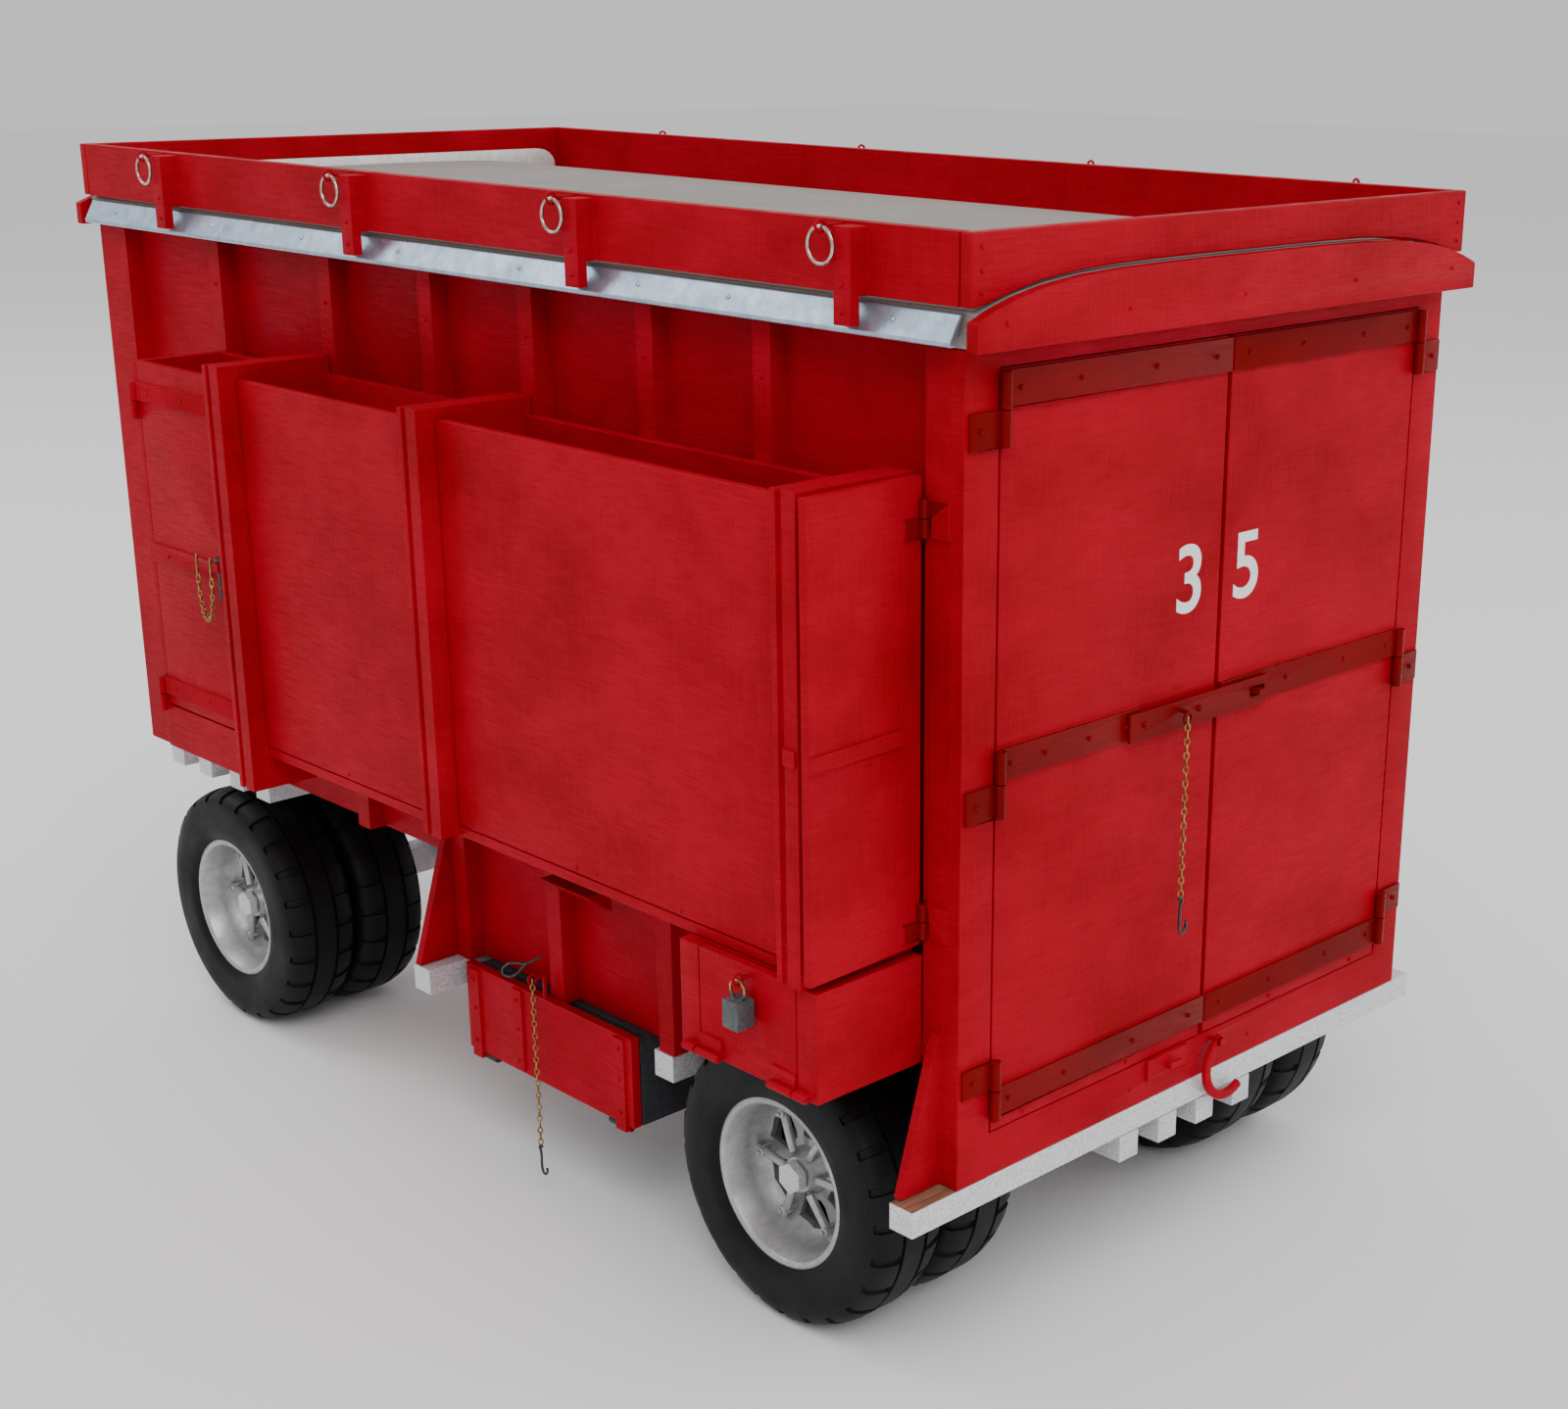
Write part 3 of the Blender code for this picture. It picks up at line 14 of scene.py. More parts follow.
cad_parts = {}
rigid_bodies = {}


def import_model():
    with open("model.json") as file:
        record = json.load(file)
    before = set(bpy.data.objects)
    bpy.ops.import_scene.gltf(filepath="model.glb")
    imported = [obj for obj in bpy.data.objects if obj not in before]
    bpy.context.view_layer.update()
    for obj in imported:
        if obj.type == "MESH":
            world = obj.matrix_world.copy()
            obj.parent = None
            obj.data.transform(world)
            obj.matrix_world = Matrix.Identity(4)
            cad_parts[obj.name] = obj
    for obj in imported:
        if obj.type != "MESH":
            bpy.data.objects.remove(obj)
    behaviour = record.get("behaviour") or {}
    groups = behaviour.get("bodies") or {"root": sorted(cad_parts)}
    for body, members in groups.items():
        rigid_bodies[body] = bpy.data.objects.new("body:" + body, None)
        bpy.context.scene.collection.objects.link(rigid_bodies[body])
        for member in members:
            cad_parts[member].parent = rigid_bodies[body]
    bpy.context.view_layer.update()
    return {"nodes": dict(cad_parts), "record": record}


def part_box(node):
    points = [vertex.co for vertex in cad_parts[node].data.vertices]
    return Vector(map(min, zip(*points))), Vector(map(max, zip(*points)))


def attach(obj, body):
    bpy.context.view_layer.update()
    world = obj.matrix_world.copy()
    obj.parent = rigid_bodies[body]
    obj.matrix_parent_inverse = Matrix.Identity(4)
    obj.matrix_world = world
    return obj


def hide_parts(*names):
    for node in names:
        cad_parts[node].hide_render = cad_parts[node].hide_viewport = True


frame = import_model()

# %% [markdown]
# ## Where things are
# Sizes are easiest to think of from the body of the wagon: X from its middle, Y from the doors and
# Z from the underside of its low floor. A small function turns such a place into the frame's own place.
# It could be typed in as three numbers, but reading it from the boards keeps it true if the frame moves.

# %% Places measured from the body
HALF = 0.1
HANDS = (("left", -1), ("right", 1))
wall_low, wall_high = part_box("right_wall")
origin = Vector((wall_high.x - HALF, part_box("left_drip_strip")[0].y, wall_low.z))


def at(x, y, z):
    return origin + Vector((x, y, z))


print("the body's own origin is at", [round(value, 4) for value in origin])

# %% [markdown]
# ## Working by hand, in code
# An operator acts on all that is selected, so each step starts by selecting one object only.
# Finished pieces have their place in their mesh, so that patterns in object space sit still on them.

# %% Helpers for selecting and finishing


def only(obj):
    """Selects one object and makes it the active one."""
    bpy.ops.object.select_all(action="DESELECT")
    obj.select_set(True)
    bpy.context.view_layer.objects.active = obj
    return obj


def finish_piece(obj, name, body, material, replaced=()):
    """Puts a piece's place into its mesh, names and paints it, and lets it ride on a body."""
    only(obj)
    bpy.ops.object.transform_apply(location=True, rotation=True, scale=True)
    obj.name = name
    obj.data.materials.clear()
    obj.data.materials.append(material)
    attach(obj, body)
    if replaced:
        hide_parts(*replaced)
    return obj


def join_all(objects):
    """Joins several objects into the first of them."""
    bpy.ops.object.select_all(action="DESELECT")
    for obj in objects:
        obj.select_set(True)
    bpy.context.view_layer.objects.active = objects[0]
    if len(objects) > 1:
        bpy.ops.object.join()
    return objects[0]


def twin(obj):
    """A copy of an object with a mesh of its own."""
    copy = obj.copy()
    copy.data = obj.data.copy()
    bpy.context.scene.collection.objects.link(copy)
    return copy


def apply_modifiers(obj):
    """Makes every modifier of an object part of its mesh."""
    only(obj)
    for modifier in list(obj.modifiers):
        bpy.ops.object.modifier_apply(modifier=modifier.name)


body_of_node = {}
for body, members in frame["record"]["behaviour"]["bodies"].items():
    for member in members:
        body_of_node[member] = body
print("the frame has", len(body_of_node), "nodes")

# %% [markdown]
# ## Finishes
# Each finish is a small network of nodes. Noise stretched along one direction gives brush strokes,
# fine noise gives sparkle or rubber grain, and broad noise lets the colour drift as hand paint does.
# All patterns read object coordinates, in metres, so a scale of 1000 means features of a millimetre.

# %% Helpers for finishes


def start_finish(name, colour, metallic, roughness, **constants):
    """A material with its shader's constants set, and the nodes every pattern starts from."""
    material = bpy.data.materials.new(name)
    material.use_nodes = True
    tree = material.node_tree
    shader = tree.nodes["Principled BSDF"]
    shader.inputs["Base Color"].default_value = (*colour, 1)
    shader.inputs["Metallic"].default_value = metallic
    shader.inputs["Roughness"].default_value = roughness
    for socket, value in constants.items():
        shader.inputs[socket.replace("_", " ")].default_value = value
    place = tree.nodes.new("ShaderNodeTexCoord")
    return material, tree, shader, place.outputs["Object"]


def noise(tree, place, scale, detail=3.0, rough=0.55, warp=0.0):
    """Noise with its own scale along each axis."""
    mapping = tree.nodes.new("ShaderNodeMapping")
    mapping.inputs["Scale"].default_value = scale
    tree.links.new(place, mapping.inputs["Vector"])
    texture = tree.nodes.new("ShaderNodeTexNoise")
    texture.inputs["Scale"].default_value = 1.0
    texture.inputs["Detail"].default_value = detail
    texture.inputs["Roughness"].default_value = rough
    texture.inputs["Distortion"].default_value = warp
    tree.links.new(mapping.outputs["Vector"], texture.inputs["Vector"])
    return texture.outputs["Fac"]


def ramp(tree, value, stops):
    """A colour ramp of (position, colour) stops."""
    node = tree.nodes.new("ShaderNodeValToRGB")
    elements = node.color_ramp.elements
    while len(elements) < len(stops):
        elements.new(0.5)
    for element, (position, colour) in zip(elements, stops):
        element.position = position
        element.color = (*colour, 1)
    tree.links.new(value, node.inputs["Fac"])
    return node.outputs["Color"]


def blend_colours(tree, factor, first, second):
    """Mixes two colours, each a constant or a node's output, by a factor."""
    node = tree.nodes.new("ShaderNodeMix")
    node.data_type = "RGBA"
    sockets = (node.inputs["Factor"], node.inputs["A"], node.inputs["B"])
    for socket, value in zip(sockets, (factor, first, second)):
        if isinstance(value, (tuple, float)):
            socket.default_value = value if isinstance(value, float) else (*value, 1)
        else:
            tree.links.new(value, socket)
    return node.outputs["Result"]


def spread(tree, value, low, high):
    """Moves a 0 to 1 value into another range."""
    node = tree.nodes.new("ShaderNodeMapRange")
    node.inputs["To Min"].default_value = low
    node.inputs["To Max"].default_value = high
    node.inputs["From Min"].default_value = 0.3
    node.inputs["From Max"].default_value = 0.7
    tree.links.new(value, node.inputs["Value"])
    return node.outputs["Result"]


def bump(tree, shader, heights):
    """Bumps on the surface; heights is a list of (value, depth in metres)."""
    normal = None
    for value, depth in heights:
        node = tree.nodes.new("ShaderNodeBump")
        node.inputs["Strength"].default_value = 1.0
        node.inputs["Distance"].default_value = depth
        tree.links.new(value, node.inputs["Height"])
        if normal is not None:
            tree.links.new(normal, node.inputs["Normal"])
        normal = node.outputs["Normal"]
    tree.links.new(normal, shader.inputs["Normal"])


# %% [markdown]
# ### Red paint on wood
# The boards are brushed with a thick, slightly glossy red. Fine strokes run along each board, a coarser
# weave of strokes shows under them, and the colour drifts between a deeper and a brighter red.

# %% Red paint


def brushed_paint(name, dark, light, roughness, depth, gloss):
    """Brushed paint: strokes along and up the boards over a drifting colour."""
    material, tree, shader, place = start_finish(name, light, 0.0, roughness, Specular_IOR_Level=gloss)
    strokes = noise(tree, place, (110, 110, 1500), 4, 0.6, 0.2)
    upright = noise(tree, place, (1300, 1300, 90), 3, 0.6, 0.2)
    drift = noise(tree, place, (22, 22, 30), 3, 0.6)
    specks = noise(tree, place, (700, 700, 700), 2, 0.5)
    colour = ramp(tree, drift, [(0.3, dark), (0.62, light)])
    darker = tuple(value * 0.72 for value in dark)
    colour = blend_colours(tree, spread(tree, strokes, 0.0, 0.35), colour, darker)
    brighter = tuple(min(1.0, value * 1.25) for value in light)
    colour = blend_colours(tree, spread(tree, upright, 0.0, 0.22), colour, brighter)
    tree.links.new(colour, shader.inputs["Base Color"])
    tree.links.new(spread(tree, strokes, roughness - 0.1, roughness + 0.14), shader.inputs["Roughness"])
    bump(tree, shader, [(strokes, depth), (upright, depth * 0.6), (specks, depth * 0.5)])
    return material


red_paint = brushed_paint(
    "red_paint", (0.26, 0.0002, 0.005), (0.39, 0.0004, 0.013), 0.42, 0.00012, 0.045)
strap_paint = brushed_paint(
    "strap_paint", (0.12, 0.0005, 0.001), (0.20, 0.001, 0.002), 0.30, 0.00010, 0.06)
print("brushed paints:", red_paint.name, strap_paint.name)

# %% [markdown]
# ### Silver paint, sheet metal, rubber and small metals
# The silver paint sparkles, because its flakes lie at all angles: very fine noise varies its brightness.
# Galvanised sheet has soft streaks. Rubber is nearly black with a dusty drift.

# %% Other finishes


def flecked(name, dark, light, metallic, roughness, grain, depth, streak=(60, 60, 60), gloss=0.5):
    """A finish of fine flecks of a given grain, with a broader drift along its streaks."""
    material, tree, shader, place = start_finish(name, light, metallic, roughness, Specular_IOR_Level=gloss)
    fine = noise(tree, place, (grain, grain, grain), 2, 0.7)
    broad = noise(tree, place, streak, 3, 0.6)
    colour = ramp(tree, fine, [(0.32, dark), (0.66, light)])
    colour = blend_colours(tree, spread(tree, broad, 0.0, 0.45), colour, dark)
    tree.links.new(colour, shader.inputs["Base Color"])
    tree.links.new(spread(tree, broad, roughness - 0.08, roughness + 0.12), shader.inputs["Roughness"])
    bump(tree, shader, [(fine, depth), (broad, depth)])
    return material


SILVER_DARK, SILVER_LIGHT = (0.42, 0.43, 0.46), (0.86, 0.87, 0.90)
silver_paint = flecked("silver_paint", SILVER_DARK, SILVER_LIGHT, 0.35, 0.42, 1700, 0.00015)
galvanised_sheet = flecked(
    "galvanised_sheet", (0.34, 0.43, 0.54), (0.50, 0.61, 0.74), 0.85, 0.32, 250, 0.00003, (90, 60, 60))
roof_sheet = flecked(
    "roof_sheet", (0.24, 0.21, 0.19), (0.31, 0.28, 0.255), 0.15, 0.5, 900, 0.00004, (30, 12, 30))
pale_sheet = flecked("pale_sheet", (0.62, 0.62, 0.60), (0.80, 0.80, 0.79), 0.2, 0.4, 420, 0.00004)
rim_silver = flecked(
    "rim_silver", (0.37, 0.37, 0.38), (0.50, 0.50, 0.51), 0.6, 0.34, 400, 0.00002, (25, 25, 25))
tyre_rubber = flecked(
    "tyre_rubber", (0.003, 0.003, 0.004), (0.009, 0.009, 0.010), 0.0, 0.5, 1300, 0.00006, gloss=0.16)
chain_brass = flecked("chain_brass", (0.20, 0.10, 0.03), (0.60, 0.40, 0.16), 1.0, 0.35, 900, 0.00003)
ring_wire = flecked("ring_wire", (0.40, 0.28, 0.22), (0.74, 0.64, 0.58), 1.0, 0.22, 700, 0.00003)
dark_steel = flecked("dark_steel", (0.02, 0.03, 0.03), (0.09, 0.10, 0.09), 0.8, 0.4, 900, 0.00004)
slate_paint = flecked(
    "slate_paint", (0.022, 0.023, 0.028), (0.045, 0.048, 0.056), 0.0, 0.6, 900, 0.00010, gloss=0.3)
lock_grey = flecked("lock_grey", (0.045, 0.052, 0.055), (0.10, 0.11, 0.115), 0.2, 0.5, 900, 0.00006)
white_paint = flecked("white_paint", (0.74, 0.72, 0.72), (0.88, 0.87, 0.87), 0.0, 0.45, 1200, 0.00005)
print("finishes ready:", len(bpy.data.materials))

# %% [markdown]
# ### Bare wood where the paint stops
# The top of the rear bar was left bare at its left end. A second finish mixes the silver paint with
# raw wood by place and by which way a face looks, so that the front of the bar stays painted.

# %% Silver bar with a bare top
BARE_LEFT_OF, FACING_UP = -0.088, 0.7


def bare_topped():
    """Silver paint that gives way to raw wood on upward faces at the left end."""
    material, tree, shader, place = start_finish("silver_bar", (0.8, 0.81, 0.84), 0.3, 0.42)
    fine = noise(tree, place, (1700, 1700, 1700), 2, 0.7)
    silver = ramp(tree, fine, [(0.32, SILVER_DARK), (0.66, SILVER_LIGHT)])
    grain = noise(tree, place, (60, 900, 900), 4, 0.6)
    wood = ramp(tree, grain, [(0.3, (0.20, 0.10, 0.06)), (0.7, (0.42, 0.25, 0.15))])
    geometry = tree.nodes.new("ShaderNodeNewGeometry")
    up = tree.nodes.new("ShaderNodeSeparateXYZ")
    tree.links.new(geometry.outputs["Normal"], up.inputs["Vector"])
    where = tree.nodes.new("ShaderNodeSeparateXYZ")
    tree.links.new(place, where.inputs["Vector"])
    left = tree.nodes.new("ShaderNodeMath")
    left.operation = "LESS_THAN"
    left.inputs[1].default_value = at(BARE_LEFT_OF, 0, 0).x
    tree.links.new(where.outputs["X"], left.inputs[0])
    top = tree.nodes.new("ShaderNodeMath")
    top.operation = "GREATER_THAN"
    top.inputs[1].default_value = FACING_UP
    tree.links.new(up.outputs["Z"], top.inputs[0])
    both = tree.nodes.new("ShaderNodeMath")
    both.operation = "MULTIPLY"
    tree.links.new(left.outputs["Value"], both.inputs[0])
    tree.links.new(top.outputs["Value"], both.inputs[1])
    tree.links.new(blend_colours(tree, both.outputs["Value"], silver, wood), shader.inputs["Base Color"])
    bump(tree, shader, [(fine, 0.00012)])
    return material


silver_bar = bare_topped()
print("made", silver_bar.name)

# %% [markdown]
# ## Boards with softened edges
# A sawn and painted board never has a perfectly sharp edge: paint rounds it, and that thin rounding
# catches the light. The frame's boards are exact but sharp, so each is copied, its loose triangles are
# merged into clean faces, and a Bevel modifier rounds every sharp edge by a fraction of a millimetre.

# %% Helper that softens a board


def soften(node, material, width, segments=2):
    """A copy of a node with clean faces and rounded edges, which replaces it."""
    obj = twin(frame["nodes"][node])
    obj.parent = None
    for key in list(obj.keys()):
        if key.startswith("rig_"):
            del obj[key]
    only(obj)
    bpy.ops.object.mode_set(mode="EDIT")
    bpy.ops.mesh.select_all(action="SELECT")
    bpy.ops.mesh.remove_doubles(threshold=0.00001)
    bpy.ops.mesh.tris_convert_to_quads(
        face_threshold=math.radians(0.5), shape_threshold=math.radians(180))
    bpy.ops.object.mode_set(mode="OBJECT")
    if width:
        bevel = obj.modifiers.new("edges", "BEVEL")
        bevel.width = width
        bevel.segments = segments
        bevel.limit_method = "ANGLE"
        bevel.angle_limit = math.radians(50)
        bevel.use_clamp_overlap = False
        apply_modifiers(obj)
    only(obj)
    bpy.ops.object.shade_smooth_by_angle(angle=math.radians(20))
    return finish_piece(obj, f"{node}_piece", body_of_node[node], material, [node])


def paint_where(obj, material, test):
    """Gives a second finish to the faces whose middle, measured from the body, passes a test."""
    obj.data.materials.append(material)
    number = len(obj.data.materials) - 1
    count = 0
    for face in obj.data.polygons:
        if test(face.center - origin):
            face.material_index = number
            count += 1
    print(obj.name, "has", count, "faces in", material.name)


# %% [markdown]
# ### Which board gets which finish
# Big boards take a rounding of about half a millimetre. Pieces with thin hinges take less, so that their
# rounded edges don't meet.

# %% Soften the boards
BROAD_EDGE = 0.0004
FINE_EDGE = 0.00018
RED_BOARDS = {
    "left_wall": FINE_EDGE, "right_wall": BROAD_EDGE, "front_wall": BROAD_EDGE, "floor": BROAD_EDGE,
    "rear_cornice": BROAD_EDGE, "front_cornice": BROAD_EDGE, "rear_rail": BROAD_EDGE,
    "front_rail": BROAD_EDGE, "rack_panel_short": BROAD_EDGE, "rack_panel_long": BROAD_EDGE,
    "left_rail": FINE_EDGE, "right_rail": FINE_EDGE, "rear_frame": FINE_EDGE,
    "left_door": FINE_EDGE, "right_door": FINE_EDGE, "rack_frame": FINE_EDGE, "bay_door": FINE_EDGE,
    "rack_end_door": FINE_EDGE, "locker": FINE_EDGE, "locker_door": FINE_EDGE, "drop_board": FINE_EDGE,
    "c_hook": 0.0004,
}
red_pieces = {}
for node, width in RED_BOARDS.items():
    red_pieces[node] = soften(node, red_paint, width)
soften("hasp", strap_paint, 0.0002)
soften("rear_bar", silver_bar, 0.0003)
for node in ("chassis", "front_underframe", "rear_axle", "front_truck", "tongue"):
    soften(node, silver_paint, 0.0002)
soften("tool_box", slate_paint, FINE_EDGE)
for node in ("left_drip_strip", "right_drip_strip"):
    soften(node, galvanised_sheet, 0.0003)
soften("roof", roof_sheet, 0)
padlock = soften("padlock", lock_grey, 0.0005, 3)
soften("latch_pin", dark_steel, 0.0001)

# %% [markdown]
# ### Browner paint on the ironwork
# The straps, hinges and leaves are part of the doors and posts in the frame. Their faces are found by
# place, by how far they stand in front of the boards, and take the browner, glossier paint.

# %% Paint the straps
STRAP_SPANS = ((0.2043, 0.2133), (0.1103, 0.1188), (0.0170, 0.0255))
LEAF_SPANS = ((0.1950, 0.2040), (0.1010, 0.1100), (0.0258, 0.0340))
FRONT_OF_BOARDS = -0.0003
SPAN_SLACK = 0.0003
POST_HINGES_FROM = 0.084
SHACKLE = 0.0042


def in_spans(height, spans):
    """Whether a height lies in one of the spans of a list."""
    return any(low - SPAN_SLACK <= height <= high + SPAN_SLACK for low, high in spans)


for node in ("left_door", "right_door"):
    paint_where(red_pieces[node], strap_paint,
                lambda p: p.y < FRONT_OF_BOARDS and in_spans(p.z, STRAP_SPANS))
paint_where(red_pieces["rear_frame"], strap_paint,
            lambda p: p.y < FRONT_OF_BOARDS and abs(p.x) > POST_HINGES_FROM and in_spans(p.z, LEAF_SPANS))
END_HINGES = ((0.0685, 0.0780), (0.1730, 0.1825))
for node in ("rack_end_door", "rear_frame", "rack_frame"):
    paint_where(red_pieces[node], strap_paint,
                lambda p: -0.1075 < p.x < -0.0935 and 0.0085 < p.y < 0.0135 and in_spans(p.z, END_HINGES))
shackle_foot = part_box("padlock")[1].z - origin.z - SHACKLE
paint_where(padlock, chain_brass, lambda p: p.z > shackle_foot)
print("straps, leaves and shackle are painted")

# %% [markdown]
# ## Tyres
# Each tyre has a flat, smooth side, a rounded shoulder with short lug grooves, and a tread with two
# grooves round it. A profile of half a tyre could be revolved by a modifier, but the Spin operator leaves
# real faces at once, so the lug grooves can then be pressed in with Inset.

# %% Model one tyre
low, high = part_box("rear_left_outer_tyre")
TYRE_WIDTH = high.x - low.x
wheel_low = low.z
TYRE_RADIUS = (high.z - wheel_low) / 2
AXLE_Z = wheel_low + TYRE_RADIUS
TYRE_STEPS = 96
SHOULDER_FROM, TREAD_MIDDLE, LUG_EVERY = 0.0408, 0.0052, 4
LUG_RIM, LUG_DEPTH = 0.0003, 0.0008


def loop_mesh(name, points):
    """An object whose mesh is one closed loop of edges through the points."""
    mesh = bpy.data.meshes.new(name)
    count = len(points)
    mesh.from_pydata(points, [(i, (i + 1) % count) for i in range(count)], [])
    obj = bpy.data.objects.new(name, mesh)
    bpy.context.scene.collection.objects.link(obj)
    return obj


def spin_round(obj, steps):
    """Spins a loop once round the X axis and closes the seam."""
    only(obj)
    bpy.ops.object.mode_set(mode="EDIT")
    bpy.ops.mesh.select_all(action="SELECT")
    bpy.ops.mesh.spin(steps=steps, angle=2 * math.pi, center=(0, 0, 0), axis=(1, 0, 0))
    bpy.ops.mesh.select_all(action="SELECT")
    bpy.ops.mesh.remove_doubles(threshold=0.00001)
    bpy.ops.mesh.normals_make_consistent(inside=False)
    bpy.ops.object.mode_set(mode="OBJECT")


def tyre_profile():
    """Half a cross-section from bead to tread, mirrored for the other side: (along, out)."""
    half = TYRE_WIDTH / 2
    outer = TYRE_RADIUS
    side = [
        (half - 0.0042, 0.0252), (half - 0.0016, 0.0256), (half - 0.0004, 0.0272), (half - 0.0001, 0.0300),
        (half, 0.0345), (half - 0.0001, 0.0380), (half - 0.0007, 0.0400), (half - 0.0018, 0.0418),
        (half - 0.0036, outer - 0.0011), (half - 0.0062, outer - 0.0003),
        (0.0049, outer), (0.0047, outer - 0.0011), (0.0039, outer - 0.0011), (0.0037, outer),
    ]
    return side + [(-a, r) for a, r in reversed(side)]


bpy.context.tool_settings.mesh_select_mode = (False, False, True)
tyre_master = loop_mesh("tyre_master", [(a, 0, r) for a, r in tyre_profile()])
spin_round(tyre_master, TYRE_STEPS)
shoulder = []
for face in tyre_master.data.polygons:
    centre = face.center
    out = math.hypot(centre.y, centre.z)
    turn = math.degrees(math.atan2(centre.z, centre.y)) % 360
    step = int(turn // (360 / TYRE_STEPS))
    face.select = out > SHOULDER_FROM and abs(centre.x) > TREAD_MIDDLE and step % LUG_EVERY == 0
    shoulder.append(face.select)
only(tyre_master)
bpy.ops.object.mode_set(mode="EDIT")
bpy.ops.mesh.inset(thickness=LUG_RIM, depth=-LUG_DEPTH)
bpy.ops.object.mode_set(mode="OBJECT")
bpy.ops.object.shade_smooth_by_angle(angle=math.radians(38))
print("one tyre has", len(tyre_master.data.polygons), "faces, with", sum(shoulder), "pressed in")

# %% [markdown]
# ## Rims
# The rim is a deep dish with a wide bright lip. Six round spokes run from the hub down into the dish,
# and a small bolt sits at the foot of each. The dish is spun, the spokes and bolts are bevelled
# cylinders, modelled once and turned in steps round the hub. The nut belongs to the axle, which is still.

# %% Model one rim
SPOKES = 6


def rod_between(name, start, end, radius, sides=12, taper=1.0):
    """A round bar from one point to another with softened ends."""
    start, end = Vector(start), Vector(end)
    bpy.ops.object.select_all(action="DESELECT")
    bpy.ops.mesh.primitive_cone_add(
        vertices=sides, radius1=radius, radius2=radius * taper, depth=(end - start).length)
    obj = bpy.context.object
    obj.name = name
    bevel = obj.modifiers.new("ends", "BEVEL")
    bevel.width = radius * 0.3
    bevel.segments = 2
    bevel.limit_method = "ANGLE"
    bevel.angle_limit = math.radians(50)
    apply_modifiers(obj)
    turn = (end - start).to_track_quat("Z", "Y").to_matrix().to_4x4()
    obj.data.transform(Matrix.Translation((start + end) / 2) @ turn)
    return obj


def rim_profile():
    """The outer rim's section: lip, deep bowl and hub, closed along the back."""
    return [
        (0.0112, 0.0234), (0.0118, 0.0240), (0.0121, 0.0248), (0.0118, 0.0255), (0.0108, 0.0258),
        (0.0086, 0.0254), (-0.0105, 0.0254), (-0.0105, 0.0236), (-0.0030, 0.0226), (-0.0044, 0.0206),
        (-0.0040, 0.0120), (-0.0022, 0.0062), (-0.0022, 0.0034), (0.0042, 0.0034), (0.0042, 0.0052),
        (0.0022, 0.0060), (-0.0004, 0.0074), (-0.0022, 0.0120), (-0.0026, 0.0186), (-0.0008, 0.0208),
        (0.0040, 0.0222),
    ]


WINDOW_IN, WINDOW_OUT, WINDOW_TURN = 0.0098, 0.0192, math.radians(21)
WINDOW = (
    (WINDOW_IN, -WINDOW_TURN), (WINDOW_OUT, -WINDOW_TURN), (WINDOW_OUT * 1.02, 0),
    (WINDOW_OUT, WINDOW_TURN), (WINDOW_IN, WINDOW_TURN),
)
dish = loop_mesh("rim_master", [(a, 0, r) for a, r in rim_profile()])
spin_round(dish, 64)
cutters = []
for number in range(SPOKES):
    middle = 2 * math.pi * (number + 0.5) / SPOKES
    corners = [(r * math.cos(middle + turn), r * math.sin(middle + turn)) for r, turn in WINDOW]
    bpy.ops.object.select_all(action="DESELECT")
    bpy.ops.mesh.primitive_circle_add(vertices=len(WINDOW), radius=WINDOW_IN, fill_type="NGON")
    cutter = bpy.context.object
    for vertex, (y, z) in zip(cutter.data.vertices, corners):
        vertex.co = (-0.02, y, z)
    bpy.ops.object.mode_set(mode="EDIT")
    bpy.ops.mesh.select_all(action="SELECT")
    bpy.ops.mesh.extrude_region_move(TRANSFORM_OT_translate={"value": (0.04, 0, 0)})
    bpy.ops.mesh.select_all(action="SELECT")
    bpy.ops.mesh.normals_make_consistent(inside=False)
    bpy.ops.object.mode_set(mode="OBJECT")
    cutters.append(cutter)
windows = join_all(cutters)
cut = dish.modifiers.new("windows", "BOOLEAN")
cut.operation = "DIFFERENCE"
cut.object = windows
apply_modifiers(dish)
bpy.data.objects.remove(windows)
details = [dish]
for number in range(SPOKES):
    turn = Matrix.Rotation(2 * math.pi * number / SPOKES - math.pi / 2, 4, "X")
    spoke = rod_between("spoke", (0.0028, 0, 0.0064), (0.0008, 0, 0.0212), 0.0013)
    foot = rod_between("spoke_foot", (-0.0028, 0, 0.0180), (0.0030, 0, 0.0180), 0.0017, 12, 0.9)
    bolt = rod_between("spoke_bolt", (0.0028, 0, 0.0180), (0.0039, 0, 0.0180), 0.0008, 6)
    for obj in (spoke, foot, bolt):
        obj.data.transform(turn)
        details.append(obj)
rim_master = join_all(details)
only(rim_master)
bpy.ops.object.shade_smooth_by_angle(angle=math.radians(38))
print("one rim has", len(rim_master.data.polygons), "faces")

# %% [markdown]
# The inner rim of each pair hides behind the outer one, so a plain spun drum is enough for it.

# %% Model the inner drum
drum_master = loop_mesh("drum_master", [
    (0.0112, 0, 0.0236), (0.0121, 0, 0.0252), (-0.0120, 0, 0.0254), (-0.0112, 0, 0.0238),
    (0.0030, 0, 0.0228),
    (0.0026, 0, 0.0050), (-0.0130, 0, 0.0050), (-0.0130, 0, 0.0034), (0.0300, 0, 0.0034), (0.0300, 0, 0.0050),
    (0.0044, 0, 0.0050), (0.0048, 0, 0.0222),
])
spin_round(drum_master, 48)
only(drum_master)
bpy.ops.object.shade_smooth_by_angle(angle=math.radians(38))

# %% [markdown]
# ### Wheels on their axles
# Every wheel is a copy of the two masters. The left ones are turned half round, so that their dish looks
# outwards. They could be instances, but each piece needs a mesh of its own to ride and be painted.

